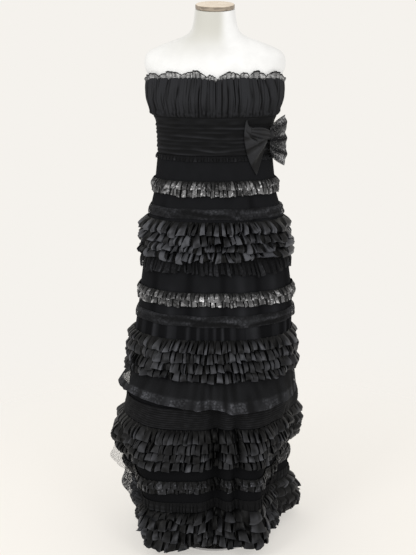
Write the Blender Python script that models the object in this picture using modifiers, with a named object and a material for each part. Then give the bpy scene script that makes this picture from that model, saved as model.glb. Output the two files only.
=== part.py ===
"""Strapless gown with a tiered, ruffled skirt, standing on a limbless dress form.

Metres, +Z up. The front faces -Y and the side with the bow is at +X.
The origin is the middle of the stand's underside, on the floor.
"""

import math
from collections import namedtuple

import bmesh
import bpy
from mathutils import Matrix, Vector

# Rays round the body. Every cloth wall has its points on these, so that the layers stay parallel.
COLUMNS = 48
DEGREES = 360 / COLUMNS
SIDE = COLUMNS // 4
BACK = COLUMNS // 2
# How square the body's outline is from above: 2 is an ellipse.
ROUNDNESS = 2.2
# About the distance between two rays at the side seams.
RAY_SPACING = 0.015

# Thickness of the gown's own cloth, and of the frills, lace and ribbon sewn on it.
CLOTH = 0.0015
FRILL = 0.0012
SEAM = 0.0003
# Distance between the skirt and the sewn edge of what is stitched on it.
LIFT = 0.0008

# Where the gown's pieces meet.
BUST_SEAM = 1.202
WAIST_SEAM = 1.103
SKIRT_HEM = 0.040

# Plain outer outline of the gown, from the bust down: half widths and depths from the body's axis.
Level = namedtuple("Level", "height right left front back")
GOWN = (
    Level(1.330, 0.1790, 0.1790, 0.1130, 0.0990),
    Level(1.310, 0.1790, 0.1790, 0.1130, 0.0990),
    Level(1.277, 0.1835, 0.1835, 0.1215, 0.0985),
    Level(1.246, 0.1815, 0.1815, 0.1265, 0.0965),
    Level(1.214, 0.1710, 0.1710, 0.1190, 0.0930),
    Level(1.190, 0.1565, 0.1565, 0.1075, 0.0890),
    Level(1.150, 0.1540, 0.1540, 0.1040, 0.0865),
    Level(WAIST_SEAM, 0.1530, 0.1530, 0.1030, 0.0865),
    Level(1.000, 0.1640, 0.1640, 0.1120, 0.1080),
    Level(0.940, 0.1820, 0.1780, 0.1220, 0.1260),
    Level(0.860, 0.1950, 0.1900, 0.1300, 0.1380),
    Level(0.710, 0.2120, 0.2060, 0.1445, 0.1535),
    Level(0.620, 0.2110, 0.2200, 0.1550, 0.1650),
    Level(0.500, 0.2170, 0.2360, 0.1670, 0.1800),
    Level(0.400, 0.2220, 0.2500, 0.1760, 0.1920),
    Level(0.310, 0.2230, 0.2770, 0.1810, 0.2000),
    Level(0.220, 0.2150, 0.2580, 0.1870, 0.2070),
    Level(0.130, 0.2100, 0.2250, 0.1920, 0.2120),
    Level(SKIRT_HEM, 0.2280, 0.2150, 0.1950, 0.2150),
)

# The skirt's largest folds: angle from the front towards +X in degrees, how far the cloth moves
# out (valleys are negative), half width in degrees, and the heights where it starts and is full.
Fold = namedtuple("Fold", "angle out spread start full")
FOLDS = (
    Fold(0, -0.030, 7, 0.50, 0.12),
    Fold(20, -0.018, 5, 0.45, 0.15),
    Fold(38, 0.014, 9, 0.50, 0.20),
    Fold(56, -0.056, 12, 0.50, 0.12),
    Fold(84, -0.056, 11, 0.50, 0.12),
    Fold(112, 0.030, 10, 0.32, 0.06),
    Fold(142, -0.030, 8, 0.50, 0.12),
    Fold(180, -0.020, 9, 0.50, 0.12),
    Fold(-152, -0.026, 8, 0.50, 0.12),
    Fold(-122, -0.032, 10, 0.45, 0.12),
    Fold(-70, -0.024, 8, 0.42, 0.15),
    Fold(-46, 0.026, 11, 0.50, 0.22),
)

# Height of the bodice's top edge by angle from the front, the same on both sides.
EdgePoint = namedtuple("EdgePoint", "angle height")
TOP_EDGE = (
    EdgePoint(0, 1.297),
    EdgePoint(22.5, 1.304),
    EdgePoint(52.5, 1.302),
    EdgePoint(90, 1.296),
    EdgePoint(135, 1.285),
    EdgePoint(180, 1.280),
)

# Bodice rings below its top edge, with the depth of the gathers raised on each.
Ring = namedtuple("Ring", "height relief")
BODICE_RINGS = (
    Ring(1.277, 0.0016),
    Ring(1.246, 0.0022),
    Ring(1.214, 0.0024),
    Ring(BUST_SEAM + SEAM, 0.0020),
)
TOP_GATHER = 0.0010
# Waistband rings: a plain strip over two draped horizontal folds.
WAISTBAND_RINGS = (
    Ring(BUST_SEAM - SEAM, 0.0008),
    Ring(1.190, 0.0008),
    Ring(1.170, 0.0028),
    Ring(1.150, 0.0012),
    Ring(1.126, 0.0030),
    Ring(WAIST_SEAM + SEAM, 0.0016),
)

# Flat and frilled bands sewn round the skirt: sewn edge, lower edge, how far the lower edge
# stands off, and whether the zip parts the band at the centre back.
Band = namedtuple("Band", "name finish top hem stand parted")
BANDS = (
    Band("waist_lace_edging", "lace", 1.1022, 1.090, 0.0040, True),
    Band("shiny_frill_high", "organza", 1.037, 1.001, 0.0095, True),
    Band("lace_band_high", "lace", 0.968, 0.9425, 0.0040, True),
    Band("lace_frill_hip", "lace", 0.838, 0.797, 0.0090, False),
    Band("shiny_frill_middle", "organza", 0.747, 0.713, 0.0095, False),
    Band("lace_band_middle", "lace", 0.687, 0.659, 0.0040, False),
    Band("tucked_band", "chiffon", 0.434, 0.379, 0.0030, False),
    Band("shiny_frill_low", "organza", 0.231, 0.200, 0.0095, False),
    Band("pleated_band", "chiffon", 0.171, 0.144, 0.0050, False),
)

# Ruffle tiers: the top of the first row, each row's lower edge, waves round a row, and how far
# the lower edges stand off the skirt and swing in and out.
Tier = namedtuple("Tier", "name top hems waves stand swing")
TIERS = (
    Tier("ruffle_hip", 0.934, (0.902, 0.877, 0.857, 0.835), 8, 0.021, 0.007),
    Tier("ruffle_thigh", 0.623, (0.594, 0.566, 0.540, 0.516), 12, 0.019, 0.006),
    Tier("ruffle_knee", 0.376, (0.344, 0.316, 0.293, 0.270), 12, 0.020, 0.007),
    Tier("ruffle_hem", 0.142, (0.119, 0.090, 0.065, SKIRT_HEM + 0.002), 12, 0.019, 0.006),
)
# A row's sewn edge is tucked this far up behind the row over it.
TUCK = 0.008
# Round a row the waves grow and shrink by this share, so many times.
ROW_SWELL = 0.2
ROW_SWELLS = 3
# Each row's swells, and its waves, start this much further round than those of the row over it.
SWELL_SHIFT = 1.7
WAVE_SHIFT = math.pi / 2

# Tulle flounce with a lace border, from behind the thigh ruffles: height and distance off the skirt.
Stand = namedtuple("Stand", "height out")
FLOUNCE = (
    Stand(0.5130, LIFT),
    Stand(0.478, 0.018),
    Stand(0.433, 0.029),
)
# The hem's scallops: how deep, how many all round, and where they start in degrees.
FLOUNCE_SCALLOP = 0.006
FLOUNCE_SCALLOPS = 4
FLOUNCE_START = 30
# The flounce falls closer to the skirt on the bow's side: by what share, where, and how wide.
FLOUNCE_HUG = 0.7
FLOUNCE_HUG_ANGLE = 90
FLOUNCE_HUG_SPREAD = 35
# Lace flap that stands out at the left, under the knee ruffles.
FLAP = (
    Stand(0.262, LIFT),
    Stand(0.236, 0.022),
    Stand(0.196, 0.014),
    Stand(0.122, 0.037),
)
FLAP_COLUMNS = range(-15, -8)

# Frill on the bodice's top edge: its height over the edge, how much that changes and how many
# times all round, and how far the free edge leans out.
TRIM_HEIGHT = 0.011
TRIM_SWAY = 0.003
TRIM_HUMPS = 7
TRIM_LEAN = 0.0030

# Dress form above the bodice and below the hips.
FormLevel = namedtuple("FormLevel", "height side front back")
SHOULDERS = (
    FormLevel(1.410, 0.0665, 0.052, 0.061),
    FormLevel(1.398, 0.0980, 0.055, 0.066),
    FormLevel(1.384, 0.1400, 0.062, 0.073),
    FormLevel(1.371, 0.1700, 0.074, 0.083),
    FormLevel(1.360, 0.1820, 0.086, 0.092),
    FormLevel(1.345, 0.1870, 0.098, 0.099),
    FormLevel(1.322, 0.1860, 0.108, 0.100),
)
NECK = FormLevel(1.430, 0.0580, 0.050, 0.057)
NECK_TOP = FormLevel(1.4735, 0.0520, 0.050, 0.052)
NECK_TILT = math.radians(10)
HIPS = (
    FormLevel(0.780, 0.166, 0.112, 0.122),
    FormLevel(0.700, 0.158, 0.106, 0.114),
    FormLevel(0.690, 0.148, 0.097, 0.105),
)
# Ease between form and gown, by height: none on the bust and waist, more below the hips.
Ease = namedtuple("Ease", "height gap")
EASES = (
    Ease(1.310, 0.0003),
    Ease(WAIST_SEAM, 0.0003),
    Ease(1.000, 0.004),
    Ease(0.940, 0.009),
    Ease(0.860, 0.014),
)

# Neck cap and stand.
CAP_RADIUS = 0.051
CAP_THICKNESS = 0.012
POLE_RADIUS = 0.016
FLANGE_RADIUS = 0.050
FLANGE_THICKNESS = 0.006
COLLAR_RADIUS = 0.027
COLLAR_HEIGHT = 0.030
PLATE_RADIUS = 0.140
PLATE_THICKNESS = 0.008

# Bow on the waistband: all its pieces meet at the knot.
KNOT_COLUMN = 9.1
KNOT_HEIGHT = 1.155
KNOT_RADII = Vector((0.0105, 0.0085, 0.0140))
KNOT_OUT = 0.0105
# The lace loop starts at this share of the knot's half width from its middle.
KNOT_HOLD = 0.98
RIBBON = 0.0012
# Points round a loop seen from above, how flat the loop is on its far side near the knot, and how
# soon the ribbon widens from the knot: under 1 is early.
LOOP_STEPS = 14
LOOP_PINCH = 0.4
LOOP_FLARE = 0.8
SATIN_TIP_COLUMN = 4.95
SATIN_ROOT_COLUMN = 8.48
SATIN_CLEAR = 0.0034
SATIN_FULLNESS = 0.016
# Distance of the satin loop's middle from the body's axis.
SATIN_AXIS_DISTANCE = 0.13
SATIN_TIP_HEIGHTS = (1.195, 1.131)
SATIN_ROOT_HEIGHTS = (1.167, 1.143)
TAIL_TIP_HEIGHT = 1.054
TAIL_TIP_COLUMNS = (6.55, 6.90)
TAIL_OUT = 0.0105
TAIL_RIDGE = 0.006
# The tail's slit under the loop, its steps across and down, and how its edges curve to the tip.
TAIL_SLIT = 0.0012
TAIL_STEPS = 4
TAIL_LEFT_CURVE = 1.5
TAIL_RIGHT_CURVE = 0.8
LACE_TIP = Vector((0.190, -0.015))
LACE_FULLNESS = 0.018
LACE_TIP_HEIGHTS = (1.205, 1.067)
LACE_ROOT_HEIGHTS = (1.167, 1.143)

# Centre back zip.
TAPE_COLUMNS = (BACK - 0.55, BACK, BACK + 0.55)
TAPE_HEIGHTS = (1.2785, 1.277, 1.246, 1.214, 1.190, 1.150, WAIST_SEAM, 1.000, 0.942)
TAPE_THICKNESS = 0.0010
SLIDER_HEIGHT = 1.262
SLIDER_LENGTH = 0.010
SLIDER_HALF_WIDTH = 0.0035
SLIDER_DEPTH = 0.0048
SLIDER_CHANNEL = 0.0019
SLIDER_FLOOR = 0.0016
PULL_AXIS_DEPTH = 0.0033
# The pull tab's sections down from its hinge: distance, half width and half thickness.
TabSection = namedtuple("TabSection", "down width thick")
PULL = (
    TabSection(-0.0012, 0.0015, 0.0005),
    TabSection(-0.0008, 0.0015, 0.0010),
    TabSection(0.0000, 0.0015, 0.0013),
    TabSection(0.0010, 0.0015, 0.0009),
    TabSection(0.0016, 0.0015, 0.0006),
    TabSection(0.0062, 0.0015, 0.0006),
    TabSection(0.0085, 0.0028, 0.0006),
    TabSection(0.0205, 0.0028, 0.0006),
    TabSection(0.0230, 0.0014, 0.0006),
)

# Colour, roughness and metallic value of each finish.
Finish = namedtuple("Finish", "colour roughness metallic")
FINISHES = {
    "chiffon": Finish((0.012, 0.012, 0.013), 0.85, 0.0),
    "velvet": Finish((0.006, 0.006, 0.007), 0.95, 0.0),
    "taffeta": Finish((0.022, 0.023, 0.025), 0.45, 0.0),
    "organza": Finish((0.180, 0.182, 0.180), 0.35, 0.4),
    "lace": Finish((0.020, 0.020, 0.021), 0.75, 0.0),
    "tulle": Finish((0.030, 0.030, 0.031), 0.80, 0.0),
    "satin": Finish((0.014, 0.014, 0.015), 0.38, 0.0),
    "form_cover": Finish((0.780, 0.765, 0.730), 0.80, 0.0),
    "wood": Finish((0.560, 0.430, 0.290), 0.55, 0.0),
    "steel": Finish((0.560, 0.560, 0.570), 0.35, 1.0),
    "black_metal": Finish((0.020, 0.020, 0.022), 0.40, 1.0),
}


def clear_scene():
    """Removes what the scene holds at the start."""
    for thing in list(bpy.data.objects):
        bpy.data.objects.remove(thing, do_unlink=True)


def between(low, high, share):
    """Value that lies a share of the way from low to high."""
    return low + (high - low) * share


def outline_radius(side, depth, angle):
    """Distance from the axis to a rounded outline, along a ray at an angle from the front."""
    across = abs(math.sin(math.radians(angle))) / side
    along = abs(math.cos(math.radians(angle))) / depth
    return (across ** ROUNDNESS + along ** ROUNDNESS) ** (-1 / ROUNDNESS)


def fold_shift(height, angle):
    """How far the large folds move the skirt out at one height and angle."""
    shift = 0.0
    for fold in FOLDS:
        grown = min(1.0, max(0.0, (fold.start - height) / (fold.start - fold.full)))
        away = (angle - fold.angle + 180) % 360 - 180
        shift += fold.out * grown * math.exp(-0.5 * (away / fold.spread) ** 2)
    return shift


def level_radius(level, column):
    """Outer radius of the gown on one ray at one of its levels."""
    angle = column * DEGREES
    side = level.right if math.sin(math.radians(angle)) > 0 else level.left
    depth = level.front if math.cos(math.radians(angle)) > 0 else level.back
    return outline_radius(side, depth, angle) + fold_shift(level.height, angle)


RADII = [[level_radius(level, column) for column in range(COLUMNS)] for level in GOWN]


def gown_radius(height, column):
    """Outer radius of the plain gown on a ray, straight from each level to the next."""
    index = 0
    while index < len(GOWN) - 2 and GOWN[index + 1].height > height:
        index += 1
    drop = GOWN[index].height - GOWN[index + 1].height
    share = (GOWN[index].height - height) / drop
    spoke = column % COLUMNS
    return between(RADII[index][spoke], RADII[index + 1][spoke], share)


def ray_point(radius, column, height):
    """Point at a distance from the axis on one ray; column 0 is the front."""
    angle = math.radians(column * DEGREES)
    return Vector((radius * math.sin(angle), -radius * math.cos(angle), height))


def on_gown(height, column, out):
    """Point moved out from the plain gown; between two rays it lies on the chord."""
    first = math.floor(column)
    here = ray_point(gown_radius(height, first) + out, first, height)
    if column == first:
        return here
    after = ray_point(gown_radius(height, first + 1) + out, first + 1, height)
    return here.lerp(after, column - first)


def new_material(name, finish):
    """Material of one piece."""
    material = bpy.data.materials.new(name)
    material.use_nodes = True
    shader = material.node_tree.nodes["Principled BSDF"]
    shader.inputs["Base Color"].default_value = (*finish.colour, 1.0)
    shader.inputs["Roughness"].default_value = finish.roughness
    shader.inputs["Metallic"].default_value = finish.metallic
    return material


def add_piece(name, finish, bm, place=Matrix()):
    """Puts a finished shape in the part's collection as an object with its own material."""
    bmesh.ops.recalc_face_normals(bm, faces=bm.faces)
    mesh = bpy.data.meshes.new(name)
    bm.to_mesh(mesh)
    bm.free()
    mesh.shade_smooth()
    mesh.set_sharp_from_angle(angle=math.radians(35))
    piece = bpy.data.objects.new(name, mesh)
    piece.matrix_world = place
    mesh.materials.append(new_material(name, FINISHES[finish]))
    PARTS.objects.link(piece)
    return piece


def add_twisted(bm, corners, inward):
    """Two triangles over a twisted four-cornered face, creased towards the body or away from it."""
    first = ((corners[0].co + corners[2].co) / 2).xy.length
    second = ((corners[1].co + corners[3].co) / 2).xy.length
    start = 0 if (first < second) == inward else 1
    turned = corners[start:] + corners[:start]
    bm.faces.new((turned[0], turned[1], turned[2]))
    bm.faces.new((turned[0], turned[2], turned[3]))


def add_run(name, finish, sections, closed, inward=False):
    """Joins a run of point loops into a solid. An open run gets a strip across each end.

    What lies on the skirt creases away from the body and the skirt towards it, so they stay apart."""
    bm = bmesh.new()
    rings = [[bm.verts.new(point) for point in section] for section in sections]
    size = len(rings[0])
    followers = rings[1:] + (rings[:1] if closed else [])
    for ring, follower in zip(rings, followers):
        for here in range(size):
            after = (here + 1) % size
            add_twisted(bm, [ring[here], ring[after], follower[after], follower[here]], inward)
    if not closed:
        for ring in (rings[0], rings[-1]):
            for here in range(size // 2 - 1):
                opposite = size - 1 - here
                bm.faces.new((ring[here], ring[here + 1], ring[opposite - 1], ring[opposite]))
    return add_piece(name, finish, bm)


def add_stack(name, finish, rings, place=Matrix()):
    """Solid through a stack of rings, with a flat face at each end."""
    bm = bmesh.new()
    loops = [[bm.verts.new(point) for point in ring] for ring in rings]
    size = len(loops[0])
    for loop, follower in zip(loops, loops[1:]):
        for here in range(size):
            after = (here + 1) % size
            bm.faces.new((loop[here], loop[after], follower[after], follower[here]))
    bm.faces.new(loops[0])
    bm.faces.new(loops[-1])
    return add_piece(name, finish, bm, place)


def add_wall(name, finish, columns, profile, closed=True, inward=False):
    """Cloth wall. A column's profile lists height, inner distance and outer distance, top to hem."""
    sections = []
    for column in columns:
        rows = profile(column)
        outer = [on_gown(row[0], column, row[2]) for row in rows]
        inner = [on_gown(row[0], column, row[1]) for row in rows]
        sections.append(outer + inner[::-1])
    return add_run(name, finish, sections, closed, inward)


def half_columns(first, last):
    """Columns of a front or back piece, which stops just short of the side seams."""
    nick = SEAM / 2 / RAY_SPACING
    return [first + nick, *range(first + 1, last), last - nick]


FRONT_HALF = half_columns(-SIDE, SIDE)
BACK_HALF = half_columns(SIDE, 3 * SIDE)
ALL_ROUND = range(COLUMNS)
PARTED = range(1 - BACK, BACK)


def calm(column):
    """Relief fades out at the centre back, where the zip lies flat."""
    return 0.0 if abs(column % COLUMNS - BACK) <= 1 else 1.0


def gather(column):
    """One on the ridge of a gather and nothing in the hollow beside it."""
    return (round(column) % 2) * calm(column)


def top_edge(column):
    """Height of the bodice's top edge."""
    turned = (column * DEGREES + 180) % 360 - 180
    angle = abs(turned)
    for low, high in zip(TOP_EDGE, TOP_EDGE[1:]):
        if angle <= high.angle:
            return between(low.height, high.height, (angle - low.angle) / (high.angle - low.angle))
    return TOP_EDGE[-1].height


def bodice_profile(column):
    """Plain inside, with the gathers raised on the outside."""
    rows = [(top_edge(column), -CLOTH, TOP_GATHER * gather(column))]
    for ring in BODICE_RINGS:
        rows.append((ring.height, -CLOTH, ring.relief * gather(column)))
    return rows


def waistband_profile(column):
    """Plain inside, with the draped folds raised on the outside."""
    return [(ring.height, -CLOTH, ring.relief * calm(column)) for ring in WAISTBAND_RINGS]


def skirt_profile(column):
    """The skirt's plain wall, from the waist seam to its hem."""
    heights = [WAIST_SEAM - SEAM] + [level.height for level in GOWN if level.height < WAIST_SEAM]
    return [(height, -CLOTH, 0.0) for height in heights]


def add_gown_walls():
    """Bodice, waistband and skirt, each cut in a front and a back."""
    for side, columns in (("front", FRONT_HALF), ("back", BACK_HALF)):
        add_wall("bodice_" + side, "chiffon", columns, bodice_profile, closed=False)
        add_wall("waistband_" + side, "chiffon", columns, waistband_profile, closed=False)
        add_wall("skirt_" + side, "velvet", columns, skirt_profile, closed=False, inward=True)


def add_top_trim():
    """Frill that stands on the bodice's top edge, in shallow humps."""

    def profile(column):
        foot = top_edge(column) + SEAM
        hump = TRIM_HEIGHT + TRIM_SWAY * math.sin(math.radians(column * DEGREES * TRIM_HUMPS))
        return [
            (foot + hump, TRIM_LEAN - FRILL, TRIM_LEAN),
            (foot, -FRILL, 0.0),
        ]

    add_wall("top_trim", "organza", PARTED, profile, closed=False)


def add_band(band):
    """One strip sewn round the skirt along its upper edge."""

    def profile(column):
        return [
            (band.top, LIFT, LIFT + FRILL),
            (band.hem, band.stand, band.stand + FRILL),
        ]

    columns = PARTED if band.parted else ALL_ROUND
    add_wall(band.name, band.finish, columns, profile, closed=not band.parted)


def add_tier(tier):
    """Rows of one ruffle tier, each over the sewn edge of the row below."""
    top = tier.top
    for row, hem in enumerate(tier.hems):

        def profile(column, top=top, hem=hem, row=row):
            turn = 2 * math.pi * column / COLUMNS
            swell = 1 - ROW_SWELL + ROW_SWELL * math.sin(ROW_SWELLS * turn + SWELL_SHIFT * row)
            wave = math.sin(tier.waves * turn + WAVE_SHIFT * (row + 0.5))
            stand = tier.stand + tier.swing * swell * wave
            return [
                (top, LIFT, LIFT + FRILL),
                (hem, stand, stand + FRILL),
            ]

        add_wall("%s_%d" % (tier.name, row + 1), "taffeta", ALL_ROUND, profile)
        top = hem + TUCK


def add_flounce():
    """Tulle flounce whose lace border hangs free in long scallops."""

    def profile(column):
        angle = column * DEGREES
        turn = math.radians(angle * FLOUNCE_SCALLOPS + FLOUNCE_START)
        scallop = FLOUNCE_SCALLOP * math.sin(turn)
        free = 1 - FLOUNCE_HUG * math.exp(-((angle - FLOUNCE_HUG_ANGLE) / FLOUNCE_HUG_SPREAD) ** 2)
        top, middle, hem = FLOUNCE
        return [
            (top.height, top.out, top.out + FRILL),
            (middle.height, middle.out * free, middle.out * free + FRILL),
            (hem.height + scallop, hem.out * free, hem.out * free + FRILL),
        ]

    add_wall("tulle_flounce", "tulle", ALL_ROUND, profile)


def add_flap():
    """Lace flap at the left side, sewn along its upper edge and standing out below."""

    def profile(column):
        return [(stand.height, stand.out, stand.out + FRILL) for stand in FLAP]

    add_wall("lace_flap_left", "lace", FLAP_COLUMNS, profile, closed=False)


def form_gap(height):
    """Ease between form and gown at one of the gown's levels."""
    for upper, lower in zip(EASES, EASES[1:]):
        if height >= lower.height:
            share = (upper.height - height) / (upper.height - lower.height)
            return between(upper.gap, lower.gap, share)
    return EASES[-1].gap


def form_ring(level, tilt=0.0):
    """Ring of the dress form, on every second ray; a tilt lowers its front."""
    ring = []
    for column in range(0, COLUMNS, 2):
        angle = column * DEGREES
        depth = level.front if math.cos(math.radians(angle)) > 0 else level.back
        point = ray_point(outline_radius(level.side, depth, angle), column, level.height)
        point.z += point.y * math.tan(tilt)
        ring.append(point)
    return ring


def add_torso():
    """Smooth limbless torso: shoulders, then just inside the gown, then the closed hips."""
    rings = [form_ring(NECK_TOP, NECK_TILT), form_ring(NECK)]
    rings += [form_ring(level) for level in SHOULDERS]
    for level in GOWN:
        if EASES[-1].height <= level.height <= EASES[0].height:
            inset = CLOTH + form_gap(level.height)
            columns = range(0, COLUMNS, 2)
            rings.append([on_gown(level.height, column, -inset) for column in columns])
    rings += [form_ring(level) for level in HIPS]
    add_stack("form_torso", "form_cover", rings)


def add_disc(name, finish, radius, thickness, place, segments=32, edge=0.0):
    """Round plate, rod or collar, its axis along its own Z, with rounded rims where edge is set."""
    bm = bmesh.new()
    bmesh.ops.create_cone(
        bm, cap_ends=True, segments=segments, radius1=radius, radius2=radius, depth=thickness
    )
    piece = add_piece(name, finish, bm, place)
    if edge:
        bevel = piece.modifiers.new("rims", "BEVEL")
        bevel.width = edge
        bevel.segments = 1
        bevel.limit_method = "ANGLE"
    return piece


def add_stand():
    """Neck cap, flange, pole, collar and base plate."""
    tilt = Matrix.Rotation(NECK_TILT, 4, "X")
    rise = tilt @ Vector((0.0, 0.0, SEAM + CAP_THICKNESS / 2))
    centre = Vector((0.0, 0.0, NECK_TOP.height)) + rise
    cap = Matrix.Translation(centre) @ tilt
    add_disc("form_neck_cap", "wood", CAP_RADIUS, CAP_THICKNESS, cap, 24, 0.002)
    flange_top = HIPS[-1].height - SEAM
    flange_foot = flange_top - FLANGE_THICKNESS
    collar_foot = PLATE_THICKNESS + SEAM
    collar_top = collar_foot + COLLAR_HEIGHT
    stack = (
        ("form_flange", FLANGE_RADIUS, flange_foot, flange_top, 24, 0.0),
        ("form_pole", POLE_RADIUS, collar_top + SEAM, flange_foot - SEAM, 20, 0.0),
        ("form_collar", COLLAR_RADIUS, collar_foot, collar_top, 24, 0.0),
        ("form_base", PLATE_RADIUS, 0.0, PLATE_THICKNESS, 48, 0.0015),
    )
    for name, radius, foot, top, segments, edge in stack:
        place = Matrix.Translation((0.0, 0.0, (foot + top) / 2))
        add_disc(name, "steel", radius, top - foot, place, segments, edge)


def add_ribbon_loop(name, finish, spot, length, fullness, root_heights, tip_heights):
    """Loop of ribbon seen from above: out along one side, round its end and back along the other.

    spot turns a share of the way out and a distance across into a point at a height."""
    sections = []
    for step in range(LOOP_STEPS):
        turn = 2 * math.pi * step / LOOP_STEPS
        faces = []
        for inset in (0.0, RIBBON):
            along = 0.5 - (0.5 - inset / length) * math.cos(turn)
            swell = between(LOOP_PINCH, 1.0, along) if math.sin(turn) > 0 else 1.0
            across = (fullness / 2 * swell - inset) * math.sin(turn)
            top = between(root_heights[0], tip_heights[0], along ** LOOP_FLARE)
            foot = between(root_heights[1], tip_heights[1], along ** LOOP_FLARE)
            faces.append([spot(along, across, z) for z in (top, (top + foot) / 2, foot)])
        sections.append(faces[0] + faces[1][::-1])
    add_run(name, finish, sections, closed=True)


def add_bow():
    """Knot, a satin loop and tail in front of it, and a lace loop past it at the side."""
    knot_place = on_gown(KNOT_HEIGHT, KNOT_COLUMN, KNOT_OUT)
    facing = Matrix.Rotation(math.radians(KNOT_COLUMN * DEGREES), 4, "Z")
    bm = bmesh.new()
    bmesh.ops.create_uvsphere(bm, u_segments=12, v_segments=6, radius=1.0)
    bmesh.ops.scale(bm, vec=KNOT_RADII, verts=bm.verts)
    add_piece("bow_knot", "satin", bm, Matrix.Translation(knot_place) @ facing)

    def satin_spot(along, across, height):
        column = between(SATIN_ROOT_COLUMN, SATIN_TIP_COLUMN, along)
        return on_gown(height, column, SATIN_CLEAR + SATIN_FULLNESS / 2 + across)

    chord = (SATIN_ROOT_COLUMN - SATIN_TIP_COLUMN) * math.radians(DEGREES) * SATIN_AXIS_DISTANCE
    add_ribbon_loop(
        "bow_satin_loop", "satin", satin_spot, chord, SATIN_FULLNESS,
        SATIN_ROOT_HEIGHTS, SATIN_TIP_HEIGHTS,
    )

    sections = []
    steps = [step / TAIL_STEPS for step in range(TAIL_STEPS + 1)]
    for share in steps:
        top = between(SATIN_TIP_HEIGHTS[1], SATIN_ROOT_HEIGHTS[1], share) - TAIL_SLIT
        outer = []
        inner = []
        for down in steps:
            left = between(SATIN_TIP_COLUMN, TAIL_TIP_COLUMNS[0], down ** TAIL_LEFT_CURVE)
            right = between(SATIN_ROOT_COLUMN, TAIL_TIP_COLUMNS[1], down ** TAIL_RIGHT_CURVE)
            ridge = TAIL_RIDGE * (1 - abs(2 * share - 1)) * (1 - down)
            height = between(top, TAIL_TIP_HEIGHT, down)
            column = between(left, right, share)
            outer.append(on_gown(height, column, TAIL_OUT + ridge + RIBBON))
            inner.append(on_gown(height, column, TAIL_OUT + ridge))
        sections.append(outer + inner[::-1])
    add_run("bow_satin_tail", "satin", sections, closed=False)

    middle = Vector((knot_place.x, knot_place.y))
    heading = (LACE_TIP - middle).normalized()
    root = middle + heading * KNOT_RADII.x * KNOT_HOLD
    sideways = Vector((-heading.y, heading.x))
    reach = (LACE_TIP - root).length

    def lace_spot(along, across, height):
        plan = root + heading * reach * along + sideways * across
        return Vector((plan.x, plan.y, height))

    add_ribbon_loop(
        "bow_lace_loop", "lace", lace_spot, reach, LACE_FULLNESS,
        LACE_ROOT_HEIGHTS, LACE_TIP_HEIGHTS,
    )


def add_zip():
    """Tape down the centre back, the slider near its top, and the pull tab that swings on it."""
    inner = SEAM
    outer = SEAM + TAPE_THICKNESS

    def profile(column):
        return [(height, inner, outer) for height in TAPE_HEIGHTS]

    add_wall("zip_tape", "chiffon", TAPE_COLUMNS, profile, closed=False)

    slider_top = SLIDER_HEIGHT + SLIDER_LENGTH / 2
    back = on_gown(slider_top, BACK, outer + SEAM).y
    half = SLIDER_HALF_WIDTH
    channel = SLIDER_CHANNEL
    outline = (
        (-half, 0.0), (half, 0.0), (half, SLIDER_DEPTH), (channel, SLIDER_DEPTH),
        (channel, SLIDER_FLOOR), (-channel, SLIDER_FLOOR), (-channel, SLIDER_DEPTH),
        (-half, SLIDER_DEPTH),
    )
    rings = []
    for height in (-SLIDER_LENGTH / 2, SLIDER_LENGTH / 2):
        rings.append([Vector((x, y, height)) for x, y in outline])
    add_stack("zip_slider", "black_metal", rings, Matrix.Translation((0.0, back, SLIDER_HEIGHT)))

    tab = []
    for section in PULL:
        corners = ((-1, -1), (1, -1), (1, 1), (-1, 1))
        tab.append([Vector((x * section.width, y * section.thick, -section.down)) for x, y in corners])
    hinge = Matrix.Translation((0.0, back + PULL_AXIS_DEPTH, SLIDER_HEIGHT))
    add_stack("zip_pull", "black_metal", tab, hinge)


clear_scene()
PARTS = bpy.data.collections.new("strapless_gown")
bpy.context.scene.collection.children.link(PARTS)
add_gown_walls()
add_top_trim()
for each_band in BANDS:
    add_band(each_band)
for each_tier in TIERS:
    add_tier(each_tier)
add_flounce()
add_flap()
add_bow()
add_zip()
add_torso()
add_stand()
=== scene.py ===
"""Looks of a strapless gown with a tiered, ruffled skirt, on a limbless dress form.

Metres, +Z up. The front faces -Y and the side with the bow is at +X. An angle is in degrees
from the front towards +X, and out is a distance off the plain gown.
"""

import math
from collections import namedtuple

import bmesh
import bpy
import numpy as np
from mathutils import Matrix, Vector


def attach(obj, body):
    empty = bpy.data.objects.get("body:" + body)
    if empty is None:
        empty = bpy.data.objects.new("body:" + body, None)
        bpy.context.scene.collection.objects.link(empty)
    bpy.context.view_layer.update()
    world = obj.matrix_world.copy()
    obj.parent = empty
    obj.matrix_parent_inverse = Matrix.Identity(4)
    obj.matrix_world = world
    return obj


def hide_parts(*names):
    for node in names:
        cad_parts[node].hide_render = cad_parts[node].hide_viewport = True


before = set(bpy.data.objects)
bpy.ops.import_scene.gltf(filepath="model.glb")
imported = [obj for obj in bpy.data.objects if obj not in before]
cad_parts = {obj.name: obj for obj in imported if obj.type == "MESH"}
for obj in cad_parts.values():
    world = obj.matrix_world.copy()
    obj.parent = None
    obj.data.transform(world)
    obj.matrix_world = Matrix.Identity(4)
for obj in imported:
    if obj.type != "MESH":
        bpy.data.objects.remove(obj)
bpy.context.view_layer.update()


def table(columns, *rows):
    """Rows of values as a table with named columns."""
    return tuple(columns(*row) for row in rows)


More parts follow.
